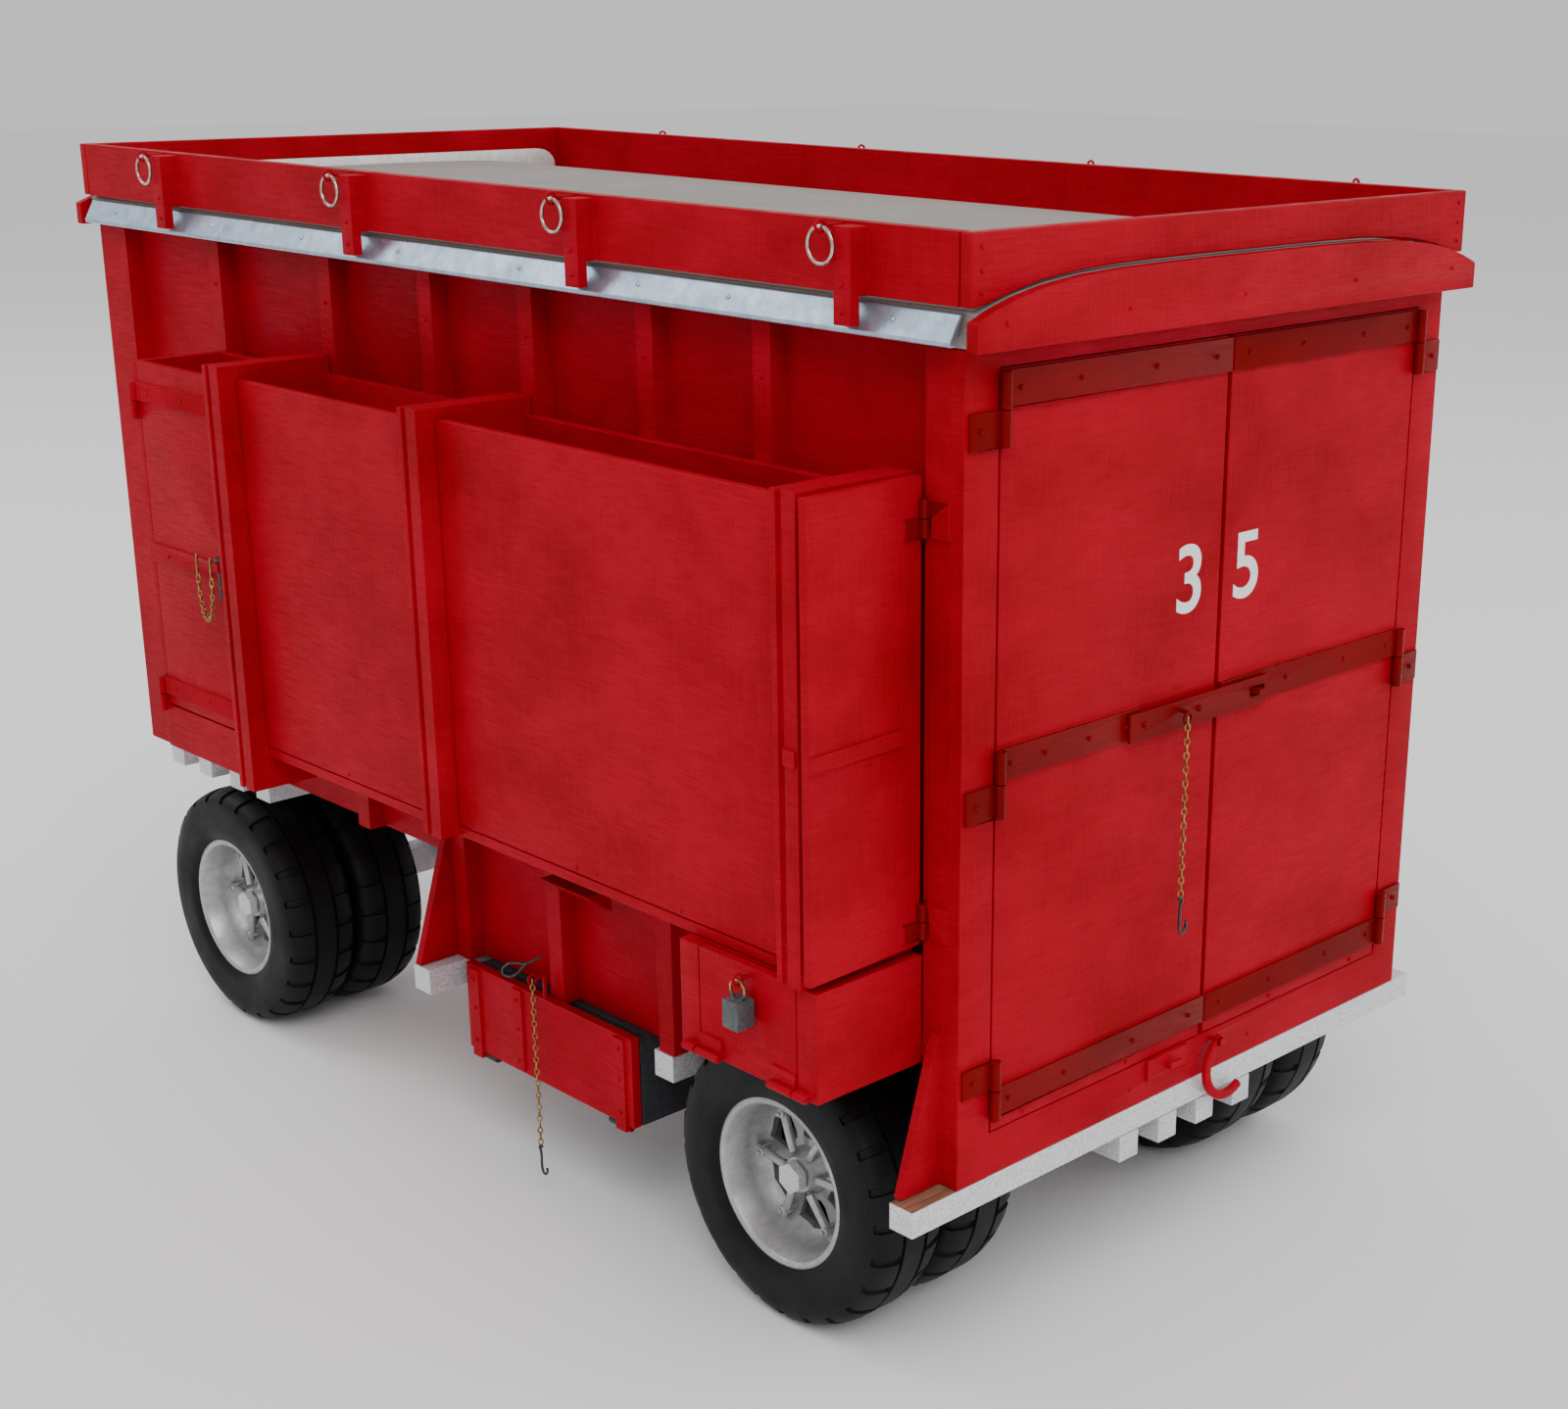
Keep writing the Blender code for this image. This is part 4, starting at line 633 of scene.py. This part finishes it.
# %% Put the wheels in place
for end in ("rear", "front"):
    for hand, side in HANDS:
        body = f"{end}_{hand}_wheels"
        flip = Matrix.Rotation(math.pi, 4, "Z") if side < 0 else Matrix.Identity(4)
        middles = {}
        for row in ("outer", "inner"):
            low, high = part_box(f"{end}_{hand}_{row}_tyre")
            middles[row] = Vector(((low.x + high.x) / 2, (low.y + high.y) / 2, AXLE_Z))
            tyre = twin(tyre_master)
            tyre.data.transform(Matrix.Translation(middles[row]) @ flip)
            node = f"{end}_{hand}_{row}_tyre"
            finish_piece(tyre, f"{node}_piece", body, tyre_rubber, [node])
        outer_rim = twin(rim_master)
        outer_rim.data.transform(Matrix.Translation(middles["outer"]) @ flip)
        drum = twin(drum_master)
        drum.data.transform(Matrix.Translation(middles["inner"]) @ flip)
        rims = join_all([outer_rim, drum])
        finish_piece(rims, f"{end}_{hand}_rims_piece", body, rim_silver, [f"{end}_{hand}_rims"])
for master in (tyre_master, rim_master, drum_master):
    bpy.data.objects.remove(master)
print("four pairs of wheels stand on the ground at", round(wheel_low, 5))

# %% [markdown]
# ## Chains and hooks
# A chain's links are modelled once: a torus pulled out along one axis. Copies are hung a pitch apart,
# each turned a quarter round. They could follow a curve, but a hanging chain is simply straight.

# %% Helpers for chains and bent wire
LINK_RADIUS, LINK_OVERLAP = 0.0009, 1.06


def chain_links(name, top, count, pitch, wire):
    """Upright links, one below the other, joined into one chain."""
    links = []
    for number in range(count):
        bpy.ops.object.select_all(action="DESELECT")
        bpy.ops.mesh.primitive_torus_add(
            major_segments=12, minor_segments=6, major_radius=LINK_RADIUS, minor_radius=wire)
        link = bpy.context.object
        link.data.transform(Matrix.Rotation(math.pi / 2, 4, "X"))
        stretch = (pitch + 2 * wire) / 2 / (LINK_RADIUS + wire) * LINK_OVERLAP
        link.data.transform(Matrix.Diagonal((0.78, 1, stretch, 1)))
        link.data.transform(Matrix.Rotation(math.pi / 4 + math.pi / 2 * (number % 2), 4, "Z"))
        link.data.transform(Matrix.Translation(top - Vector((0, 0, (number + 0.5) * pitch))))
        links.append(link)
    chain = join_all(links)
    chain.name = name
    only(chain)
    bpy.ops.object.shade_smooth()
    return chain


def bent_wire(name, points, radius):
    """A round wire along a smooth line through the points, as a mesh."""
    bpy.ops.object.select_all(action="DESELECT")
    bpy.ops.curve.primitive_bezier_curve_add(location=(0, 0, 0))
    obj = bpy.context.object
    obj.name = name
    obj.data.splines.clear()
    spline = obj.data.splines.new("BEZIER")
    spline.bezier_points.add(len(points) - 1)
    for knot, point in zip(spline.bezier_points, points):
        knot.co = point
        knot.handle_left_type = knot.handle_right_type = "AUTO"
    spline.resolution_u = 4
    obj.data.bevel_depth = radius
    obj.data.bevel_resolution = 2
    obj.data.use_fill_caps = True
    only(obj)
    bpy.ops.object.convert(target="MESH")
    bpy.ops.object.shade_smooth_by_angle(angle=math.radians(50))
    return bpy.context.object


def middle_of(node):
    """The middle of a node's box."""
    low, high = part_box(node)
    return (low + high) / 2


# %% [markdown]
# ### The chain on the hasp
# Brass links hang from the hasp, with a small wire hook at the end. The hook is a round wire along a
# smooth line, as it would be bent with pliers, because a torus has no open end.

# %% Chain and hook on the hasp
low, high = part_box("door_chain")
chain_top = Vector((middle_of("door_chain").x, middle_of("door_chain").y, high.z))
DOOR_LINKS = 26
pitch = (high.z - low.z) / DOOR_LINKS
door_chain = chain_links("door_chain_links", chain_top, DOOR_LINKS, pitch, 0.00030)
finish_piece(door_chain, "door_chain_links", "door_chain_set", chain_brass, ["door_chain"])
x, y, z = chain_top.x, chain_top.y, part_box("door_chain_hook")[1].z
door_hook = bent_wire("door_hook", [
    (x - 0.0008, y, z - 0.0004), (x, y, z + 0.0002), (x + 0.0008, y, z - 0.0006), (x + 0.0003, y, z - 0.0020),
    (x + 0.0001, y, z - 0.0060), (x + 0.0002, y, z - 0.0095), (x + 0.0013, y, z - 0.0108),
    (x + 0.0027, y, z - 0.0098), (x + 0.0030, y, z - 0.0075),
], 0.00045)
finish_piece(door_hook, "door_hook", "door_chain_set", dark_steel, ["door_chain_hook"])

# %% [markdown]
# ### The chain by the drop board
# The same links and the same kind of hook hang beside the drop board. Here the hook opens along the wagon,
# so its line of points lies in the other plane.

# %% Chain and hook by the drop board
low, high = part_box("belly_chain")
chain_top = Vector((middle_of("belly_chain").x, middle_of("belly_chain").y, high.z))
BELLY_LINKS = 28
pitch = (high.z - low.z) / BELLY_LINKS
belly_chain = chain_links("belly_chain_links", chain_top, BELLY_LINKS, pitch, 0.00028)
finish_piece(belly_chain, "belly_chain_links", "belly_chain_set", chain_brass, ["belly_chain"])
x, y, z = chain_top.x, chain_top.y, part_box("belly_chain_hook")[1].z
belly_hook = bent_wire("belly_hook", [
    (x, y - 0.0008, z - 0.0004), (x, y, z + 0.0002), (x, y + 0.0007, z - 0.0006),
    (x, y + 0.0001, z - 0.0020), (x, y, z - 0.0060), (x, y - 0.0002, z - 0.0080),
    (x, y - 0.0012, z - 0.0094), (x, y - 0.0026, z - 0.0086), (x, y - 0.0028, z - 0.0070),
], 0.00040)
finish_piece(belly_hook, "belly_hook", "belly_chain_set", dark_steel, ["belly_chain_hook"])

# %% [markdown]
# ### The loop of chain on the far bay's door
# This chain hangs in a slack loop beside the latch pin, so its links follow a curve: each is turned
# along the loop's direction.

# %% Loop of chain
low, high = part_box("latch_chain")
loop_x = (low.x + high.x) / 2
LOOP_RADIUS, LOOP_LINKS = 0.0008, 26


def chain_along(name, points, wire):
    """Links along a line of points, each turned to face the next."""
    links = []
    for number, (start, end) in enumerate(zip(points, points[1:])):
        start, end = Vector(start), Vector(end)
        bpy.ops.object.select_all(action="DESELECT")
        bpy.ops.mesh.primitive_torus_add(
            major_segments=12, minor_segments=6, major_radius=LOOP_RADIUS, minor_radius=wire)
        link = bpy.context.object
        length = (end - start).length
        link.data.transform(Matrix.Rotation(math.pi / 2, 4, "X"))
        stretch = (length + 2 * wire) / 2 / (LOOP_RADIUS + wire) * LINK_OVERLAP
        link.data.transform(Matrix.Diagonal((0.8, 1, stretch, 1)))
        link.data.transform(Matrix.Rotation(math.pi / 4 + math.pi / 2 * (number % 2), 4, "Z"))
        link.data.transform((end - start).to_track_quat("Z", "X").to_matrix().to_4x4())
        link.data.transform(Matrix.Translation((start + end) / 2))
        links.append(link)
    chain = join_all(links)
    chain.name = name
    only(chain)
    bpy.ops.object.shade_smooth()
    return chain


loop_points = []
middle_y, half_y = (low.y + high.y) / 2, (high.y - low.y) / 2 - 0.0010
for number in range(LOOP_LINKS + 1):
    turn = math.pi * number / LOOP_LINKS
    y = middle_y - half_y * math.cos(turn)
    drop = max(0.0, math.sin(turn)) ** 0.55
    loop_points.append((loop_x, y, high.z - 0.0006 - drop * (high.z - low.z - 0.0014)))
latch_chain = chain_along("latch_chain_links", loop_points, 0.00030)
finish_piece(latch_chain, "latch_chain_links", "bay_door_leaf", chain_brass, ["latch_chain"])
print("three chains hang in place")

# %% [markdown]
# ## Tie rings
# Each ring is bent from wire with a bright, coppery look, and hangs in the eye beside its stake.

# %% Rings
RINGS, RING_WIRE = 8, 0.0005
for number in range(1, RINGS + 1):
    low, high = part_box(f"tie_ring_{number}")
    bpy.ops.object.select_all(action="DESELECT")
    bpy.ops.mesh.primitive_torus_add(
        major_segments=32, minor_segments=10, major_radius=(high.z - low.z) / 2 - RING_WIRE,
        minor_radius=RING_WIRE)
    ring = bpy.context.object
    ring.data.transform(Matrix.Rotation(math.pi / 2, 4, "Y"))
    ring.data.transform(Matrix.Translation((low + high) / 2))
    only(ring)
    bpy.ops.object.shade_smooth()
    node = f"tie_ring_{number}"
    finish_piece(ring, f"{node}_piece", f"ring_{number}", ring_wire, [node])
print(RINGS, "rings hang")

# %% [markdown]
# ## Rivets and nails
# A rivet is half a small sphere. Bisecting a sphere makes one, and copies of it are joined into one
# piece for each body. They could be bumps in the finish, but real domes catch light.

# %% Helper for rivets


def rivet_heads(name, body, material, spots, facing, radius):
    """Domes at the spots, facing one way."""
    bpy.ops.object.select_all(action="DESELECT")
    bpy.ops.mesh.primitive_uv_sphere_add(segments=10, ring_count=6, radius=radius)
    dome = bpy.context.object
    bpy.ops.object.mode_set(mode="EDIT")
    bpy.ops.mesh.select_all(action="SELECT")
    bpy.ops.mesh.bisect(plane_co=(0, 0, 0), plane_no=(0, 0, 1), use_fill=True, clear_inner=True)
    bpy.ops.object.mode_set(mode="OBJECT")
    dome.data.transform(Vector(facing).to_track_quat("Z", "Y").to_matrix().to_4x4())
    domes = []
    for spot in spots:
        copy = twin(dome)
        copy.data.transform(Matrix.Translation(Vector(spot)))
        domes.append(copy)
    bpy.data.objects.remove(dome)
    heads = join_all(domes)
    only(heads)
    bpy.ops.object.shade_smooth_by_angle(angle=math.radians(60))
    return finish_piece(heads, name, body, material)


# %% [markdown]
# ### Rivets through the straps
# Each strap is riveted at shares of its length, so the heads stay on it if it gets longer.
# The middle strap of the left leaf is short, because the hasp begins where it ends.

# %% Rivets on the door straps
STRAP_FACE = -0.0010
STRAP_END = 0.0850
SEAM, SEAM_GAP = 0.0010, 0.0010
HASP_SPAN = 0.050
LEAF_MIDDLE = 0.0955
HASP_FACE, HASP_HEIGHT = -0.0023, 0.1140
for hand, side in HANDS:
    body = f"{hand}_door_leaf"
    edge, seam = side * STRAP_END, SEAM + side * SEAM_GAP
    spots = []
    for number, (bottom, top) in enumerate(STRAP_SPANS):
        inner = edge + HASP_SPAN if number == 1 and side < 0 else seam
        shares = (0.04, 0.30, 0.64) if number == 1 and side > 0 else (0.04, 0.30, 0.64, 0.93)
        for share in shares:
            spots.append(at(edge + (inner - edge) * share, STRAP_FACE, (bottom + top) / 2))
    rivet_heads(f"{hand}_door_rivets", body, strap_paint, spots, (0, -1, 0), 0.00075)
    bare = [at(edge + (seam - edge) * share, 0.0, height)
            for share, height in ((0.12, 0.0145), (0.62, 0.0150))]
    rivet_heads(f"{hand}_door_nails", body, red_paint, bare, (0, -1, 0), 0.0006)
leaf_middles = [at(side * LEAF_MIDDLE, STRAP_FACE, (low + high) / 2)
                for side in (-1, 1) for low, high in LEAF_SPANS]
rivet_heads("post_rivets", "wagon", strap_paint, leaf_middles, (0, -1, 0), 0.0008)
hasp_front = at(0, HASP_FACE, 0).y
hasp_spots = [Vector((at(x, 0, 0).x, hasp_front, at(0, 0, HASP_HEIGHT).z)) for x in (-0.032, -0.009)]
rivet_heads("hasp_rivets", "left_door_leaf", strap_paint, hasp_spots, (0, -1, 0), 0.0010)
print("rivets on the doors")

# %% [markdown]
# ### Nails round the body
# Small nail heads hold the cornice, the stakes, the strip and the racks.

# %% Nails
NAIL = 0.0006
RAIL_OVERHANG, STAKE_PROUD, STRIP_PROUD = 0.0024, 0.0060, 0.0032
STRIP_NAIL = 0.0008
CORNICE_NAILS, CORNICE_HEIGHT = (-0.094, -0.05, -0.004, 0.045, 0.092), 0.2255
RAIL_CORNERS, RAIL_HEIGHTS = (-0.099, 0.099), (0.2325, 0.2375, 0.2430)
SILL_STEPS, SILL_STEP, SILL_START, SILL_HEIGHT = (0, 4, 9), 0.006, 0.03, 0.0055
STUDS, STUD_HEIGHTS = (0.072, 0.1195, 0.173, 0.223, 0.278, 0.3455), (0.205, 0.150, 0.045)
STAKES, STAKE_HEIGHTS = (0.033, 0.139, 0.249, 0.3625), (0.2255, 0.2320)
STRIP_PLACES, STRIP_HEIGHT = (0.0208, 0.0805, 0.117, 0.170, 0.230, 0.2836, 0.339, 0.4034), 0.2245
cornice_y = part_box("rear_cornice")[0].y
cornice_z = at(0, 0, CORNICE_HEIGHT).z
nails = [Vector((at(x, 0, 0).x, cornice_y, cornice_z)) for x in CORNICE_NAILS]
rail_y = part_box("rear_rail")[0].y
nails += [Vector((at(x, 0, 0).x, rail_y, at(0, 0, z).z)) for x in RAIL_CORNERS for z in RAIL_HEIGHTS]
nails += [at(SILL_STEP * step - SILL_START, 0.0, SILL_HEIGHT) for step in SILL_STEPS]
rivet_heads("end_nails", "wagon", red_paint, nails, (0, -1, 0), NAIL)
for hand, side in HANDS:
    out = (side, 0, 0)
    spots = [at(side * (HALF + RAIL_OVERHANG + STAKE_PROUD), y, z) for y in STAKES for z in STAKE_HEIGHTS]
    rivet_heads(f"{hand}_stake_nails", "wagon", red_paint, spots, out, NAIL)
    spots = [at(side * (HALF + STRIP_PROUD), y, STRIP_HEIGHT) for y in STRIP_PLACES]
    rivet_heads(f"{hand}_strip_nails", "wagon", galvanised_sheet, spots, out, STRIP_NAIL)
    spots = [at(side * HALF, y, z) for y in STUDS for z in STUD_HEIGHTS]
    rivet_heads(f"{hand}_stud_nails", "wagon", red_paint, spots, out, NAIL)
print("nails round the body:", len(nails), "on the end and", len(HANDS), "sides")

# %% [markdown]
# ### Rivets on the racks and boards
# The racks, the far bay's door and the drop board have heads of their own. Each set is a separate piece,
# because the door and the board swing and have to take their heads with them.

# %% Rack rivets
PANEL_X, PANEL_FOOT = -HALF - 0.033, 0.0685
BOARD_GAP, DROP_BOARD, STRAP_SHEET = 0.0006, 0.003, 0.0008
LEAF_X = PANEL_X - STRAP_SHEET
DROP_X = -HALF - BOARD_GAP - DROP_BOARD - STRAP_SHEET
rack = [at(PANEL_X, y, PANEL_FOOT) for y in (0.030, 0.070, 0.115, 0.165, 0.186, 0.230, 0.271)]
rivet_heads("rack_nails", "wagon", red_paint, rack, (-1, 0, 0), NAIL)
bay = [at(LEAF_X, y, z) for y in (0.292, 0.312, 0.334) for z in (0.1735, 0.0745)]
bay += [at(LEAF_X, y, 0.1205) for y in (0.300, 0.330)]
rivet_heads("bay_rivets", "bay_door_leaf", red_paint, bay, (-1, 0, 0), NAIL)
drop = [at(DROP_X, y, z) for y in (0.1375, 0.1890, 0.2120) for z in (-0.024, -0.013, -0.003)]
rivet_heads("drop_rivets", "drop_board_leaf", red_paint, drop, (-1, 0, 0), NAIL)
print("nails and rivets in place")

# %% [markdown]
# ## Small pieces on the left side
# The far end of the roof has a pale strip that stands up against the end rail and is rounded at its
# corner. A small bracket sits under the long panel, and a wire loop hangs beside the belly chain.

# %% Helper for boards cut to an outline


def cut_board(name, outline, thickness, body, material, edge=0.0002):
    """A thin board: an outline of corners, pushed out by a thickness vector, with softened edges."""
    mesh = bpy.data.meshes.new(name)
    mesh.from_pydata([Vector(corner) for corner in outline], [], [range(len(outline))])
    obj = bpy.data.objects.new(name, mesh)
    bpy.context.scene.collection.objects.link(obj)
    only(obj)
    bpy.ops.object.mode_set(mode="EDIT")
    bpy.ops.mesh.select_all(action="SELECT")
    bpy.ops.mesh.extrude_region_move(TRANSFORM_OT_translate={"value": tuple(thickness)})
    bpy.ops.mesh.select_all(action="SELECT")
    bpy.ops.mesh.normals_make_consistent(inside=False)
    bpy.ops.object.mode_set(mode="OBJECT")
    bevel = obj.modifiers.new("edges", "BEVEL")
    bevel.width = edge
    bevel.segments = 2
    bevel.limit_method = "ANGLE"
    bevel.angle_limit = math.radians(50)
    apply_modifiers(obj)
    only(obj)
    bpy.ops.object.shade_smooth_by_angle(angle=math.radians(25))
    return finish_piece(obj, name, body, material)


# %% [markdown]
# ### The pale strip
# Its outline has two rounded corners, each a quarter of an ellipse in a few steps. A bevelled block would
# round all its corners alike, while an outline keeps the foot square.

# %% Pale strip at the roof's far end
STRIP_Y, STRIP_FOOT, STRIP_TOP, STRIP_END = 0.4195, 0.2300, 0.2386, 0.0945
STRIP_THICKNESS = 0.0025
CORNER, CORNER_DROP, CORNER_STEPS = 0.0080, 0.006, 6
outline = [at(-STRIP_END, STRIP_Y, STRIP_FOOT)]
for side in (-1, 1):
    for step in range(CORNER_STEPS + 1):
        share = step / CORNER_STEPS if side < 0 else 1 - step / CORNER_STEPS
        turn = math.pi / 2 * share
        x = side * (STRIP_END - CORNER * (1 - math.cos(turn)))
        outline.append(at(x, STRIP_Y, STRIP_TOP - CORNER_DROP * (1 - math.sin(turn))))
outline.append(at(STRIP_END, STRIP_Y, STRIP_FOOT))
cut_board("roof_end_strip", outline, (0, STRIP_THICKNESS, 0), "wagon", pale_sheet)

# %% [markdown]
# ### The bracket
# It is a small three-cornered block against the wall. An outline pushed out by its width is enough.

# %% Bracket under the long panel
wall_x = -HALF - 0.0004
BRACKET_Y, BRACKET_TOP, BRACKET_FOOT = 0.1660, 0.0455, 0.0385
BRACKET_REACH, BRACKET_WIDTH = 0.0090, 0.0230
bracket = [
    at(wall_x, BRACKET_Y, BRACKET_TOP), at(wall_x - BRACKET_REACH, BRACKET_Y, BRACKET_TOP),
    at(wall_x, BRACKET_Y, BRACKET_FOOT),
]
cut_board("panel_bracket", bracket, (0, -BRACKET_WIDTH, 0), "wagon", red_paint)

# %% [markdown]
# ### The wire loop
# A bent wire leaves the wall and turns back on itself in a flat eye. It is made as the hooks are, from
# points on the wire's middle line, each given by how far it stands off the wall.

# %% Wire loop beside the belly chain
loop_spots = (
    (0.001, 0.1785, 0.0142), (0.003, 0.1800, 0.0128), (0.004, 0.1830, 0.0112), (0.004, 0.1880, 0.0100),
    (0.004, 0.1935, 0.0075), (0.004, 0.1955, 0.0045), (0.004, 0.1930, 0.0040), (0.004, 0.1880, 0.0062),
    (0.004, 0.1845, 0.0095), (0.004, 0.1820, 0.0118),
)
toggle = bent_wire("toggle_loop", [at(wall_x - out, y, z) for out, y, z in loop_spots], 0.00045)
finish_piece(toggle, "toggle_loop", "wagon", dark_steel)
print("strip, bracket and loop are in place")

# %% [markdown]
# ## Numbers on the doors
# Each leaf carries one plain white numeral. Text becomes a mesh with a hair's thickness.

# %% Numerals
FIGURES = (("left", "3", -0.0192), ("right", "5", 0.0056))
FIGURE_SIZE, FIGURE_SPREAD, FIGURE_THICKNESS = 0.0262, 0.0003, 0.00006
FIGURE_FACE, FIGURE_FOOT = -0.00005, 0.1415
for hand, figure, x in FIGURES:
    bpy.ops.object.select_all(action="DESELECT")
    bpy.ops.object.text_add(location=(0, 0, 0))
    text = bpy.context.object
    text.data.body = figure
    text.data.size = FIGURE_SIZE
    text.data.extrude = FIGURE_THICKNESS
    text.data.offset = FIGURE_SPREAD
    only(text)
    bpy.ops.object.convert(target="MESH")
    text = bpy.context.object
    text.data.transform(Matrix.Rotation(math.pi / 2, 4, "X"))
    text.data.transform(Matrix.Translation(at(x, FIGURE_FACE, FIGURE_FOOT)))
    finish_piece(text, f"{hand}_number", f"{hand}_door_leaf", white_paint)
print("two numerals painted")

# %% [markdown]
# ## Floor, light and camera
# A pale floor and a broad soft light from above keep the paint readable. The camera looks slightly
# down on the door end and the rack side.

# %% Floor
bpy.ops.object.select_all(action="DESELECT")
bpy.ops.mesh.primitive_plane_add(size=12, location=(0, 0, -0.0001))
floor = bpy.context.object
floor.name = "studio_floor"
floor.data.materials.append(start_finish("studio_paper", (0.93, 0.93, 0.93), 0.0, 0.9)[0])

# %% [markdown]
# ### Lights
# Three large soft lights stand round the wagon, the strongest in front and above. Small lights would
# leave hard shadows of the racks on the wall. The pale world fills what they miss.

# %% Lights


def area_light(name, place, target, size, power):
    """A square soft light that shines from a place towards a target."""
    bpy.ops.object.select_all(action="DESELECT")
    bpy.ops.object.light_add(type="AREA", location=place)
    light = bpy.context.object
    light.name = name
    light.data.size = size
    light.data.energy = power
    light.rotation_euler = (Vector(target) - Vector(place)).to_track_quat("-Z", "Y").to_euler()


area_light("key", (-0.9, -1.2, 1.6), (0, 0, 0.15), 1.2, 22)
area_light("fill", (1.3, -1.0, 0.9), (0, 0, 0.15), 1.4, 9)
area_light("back", (-0.4, 1.3, 1.5), (0, 0, 0.2), 1.2, 12)
world = bpy.data.worlds.new("studio")
bpy.context.scene.world = world
world.use_nodes = True
world.node_tree.nodes["Background"].inputs["Color"].default_value = (1, 1, 1, 1)
world.node_tree.nodes["Background"].inputs["Strength"].default_value = 0.75

# %% [markdown]
# ### Camera
# The camera stands off the rear left corner. Its direction comes from two angles, and a slight roll turns
# it about that direction. The shift frames the wagon without turning the camera further.

# %% Camera
AZIMUTH, ELEVATION, ROLL = math.radians(46.149), math.radians(-18.474), math.radians(0.620)
SENSOR, LENS, SHIFT_X, SHIFT_Y = 36, 53.80, -0.1151, 0.0523
forward = Vector((
    math.sin(AZIMUTH) * math.cos(ELEVATION), math.cos(AZIMUTH) * math.cos(ELEVATION), math.sin(ELEVATION)))
level = Vector((math.cos(AZIMUTH), -math.sin(AZIMUTH), 0))
upright = level.cross(forward)
right = level * math.cos(ROLL) + upright * math.sin(ROLL)
up = upright * math.cos(ROLL) - level * math.sin(ROLL)
bpy.ops.object.select_all(action="DESELECT")
bpy.ops.object.camera_add()
camera = bpy.context.object
spot = at(-0.4955, -0.3812, 0.2956)
camera.matrix_world = Matrix((
    (right.x, up.x, -forward.x, spot.x), (right.y, up.y, -forward.y, spot.y),
    (right.z, up.z, -forward.z, spot.z), (0, 0, 0, 1),
))
camera.data.sensor_width = SENSOR
camera.data.lens = LENS
camera.data.shift_x = SHIFT_X
camera.data.shift_y = SHIFT_Y
camera.data.clip_start = 0.01
camera.data.clip_end = 50
bpy.context.scene.camera = camera
print("the camera stands at", [round(value, 3) for value in spot])
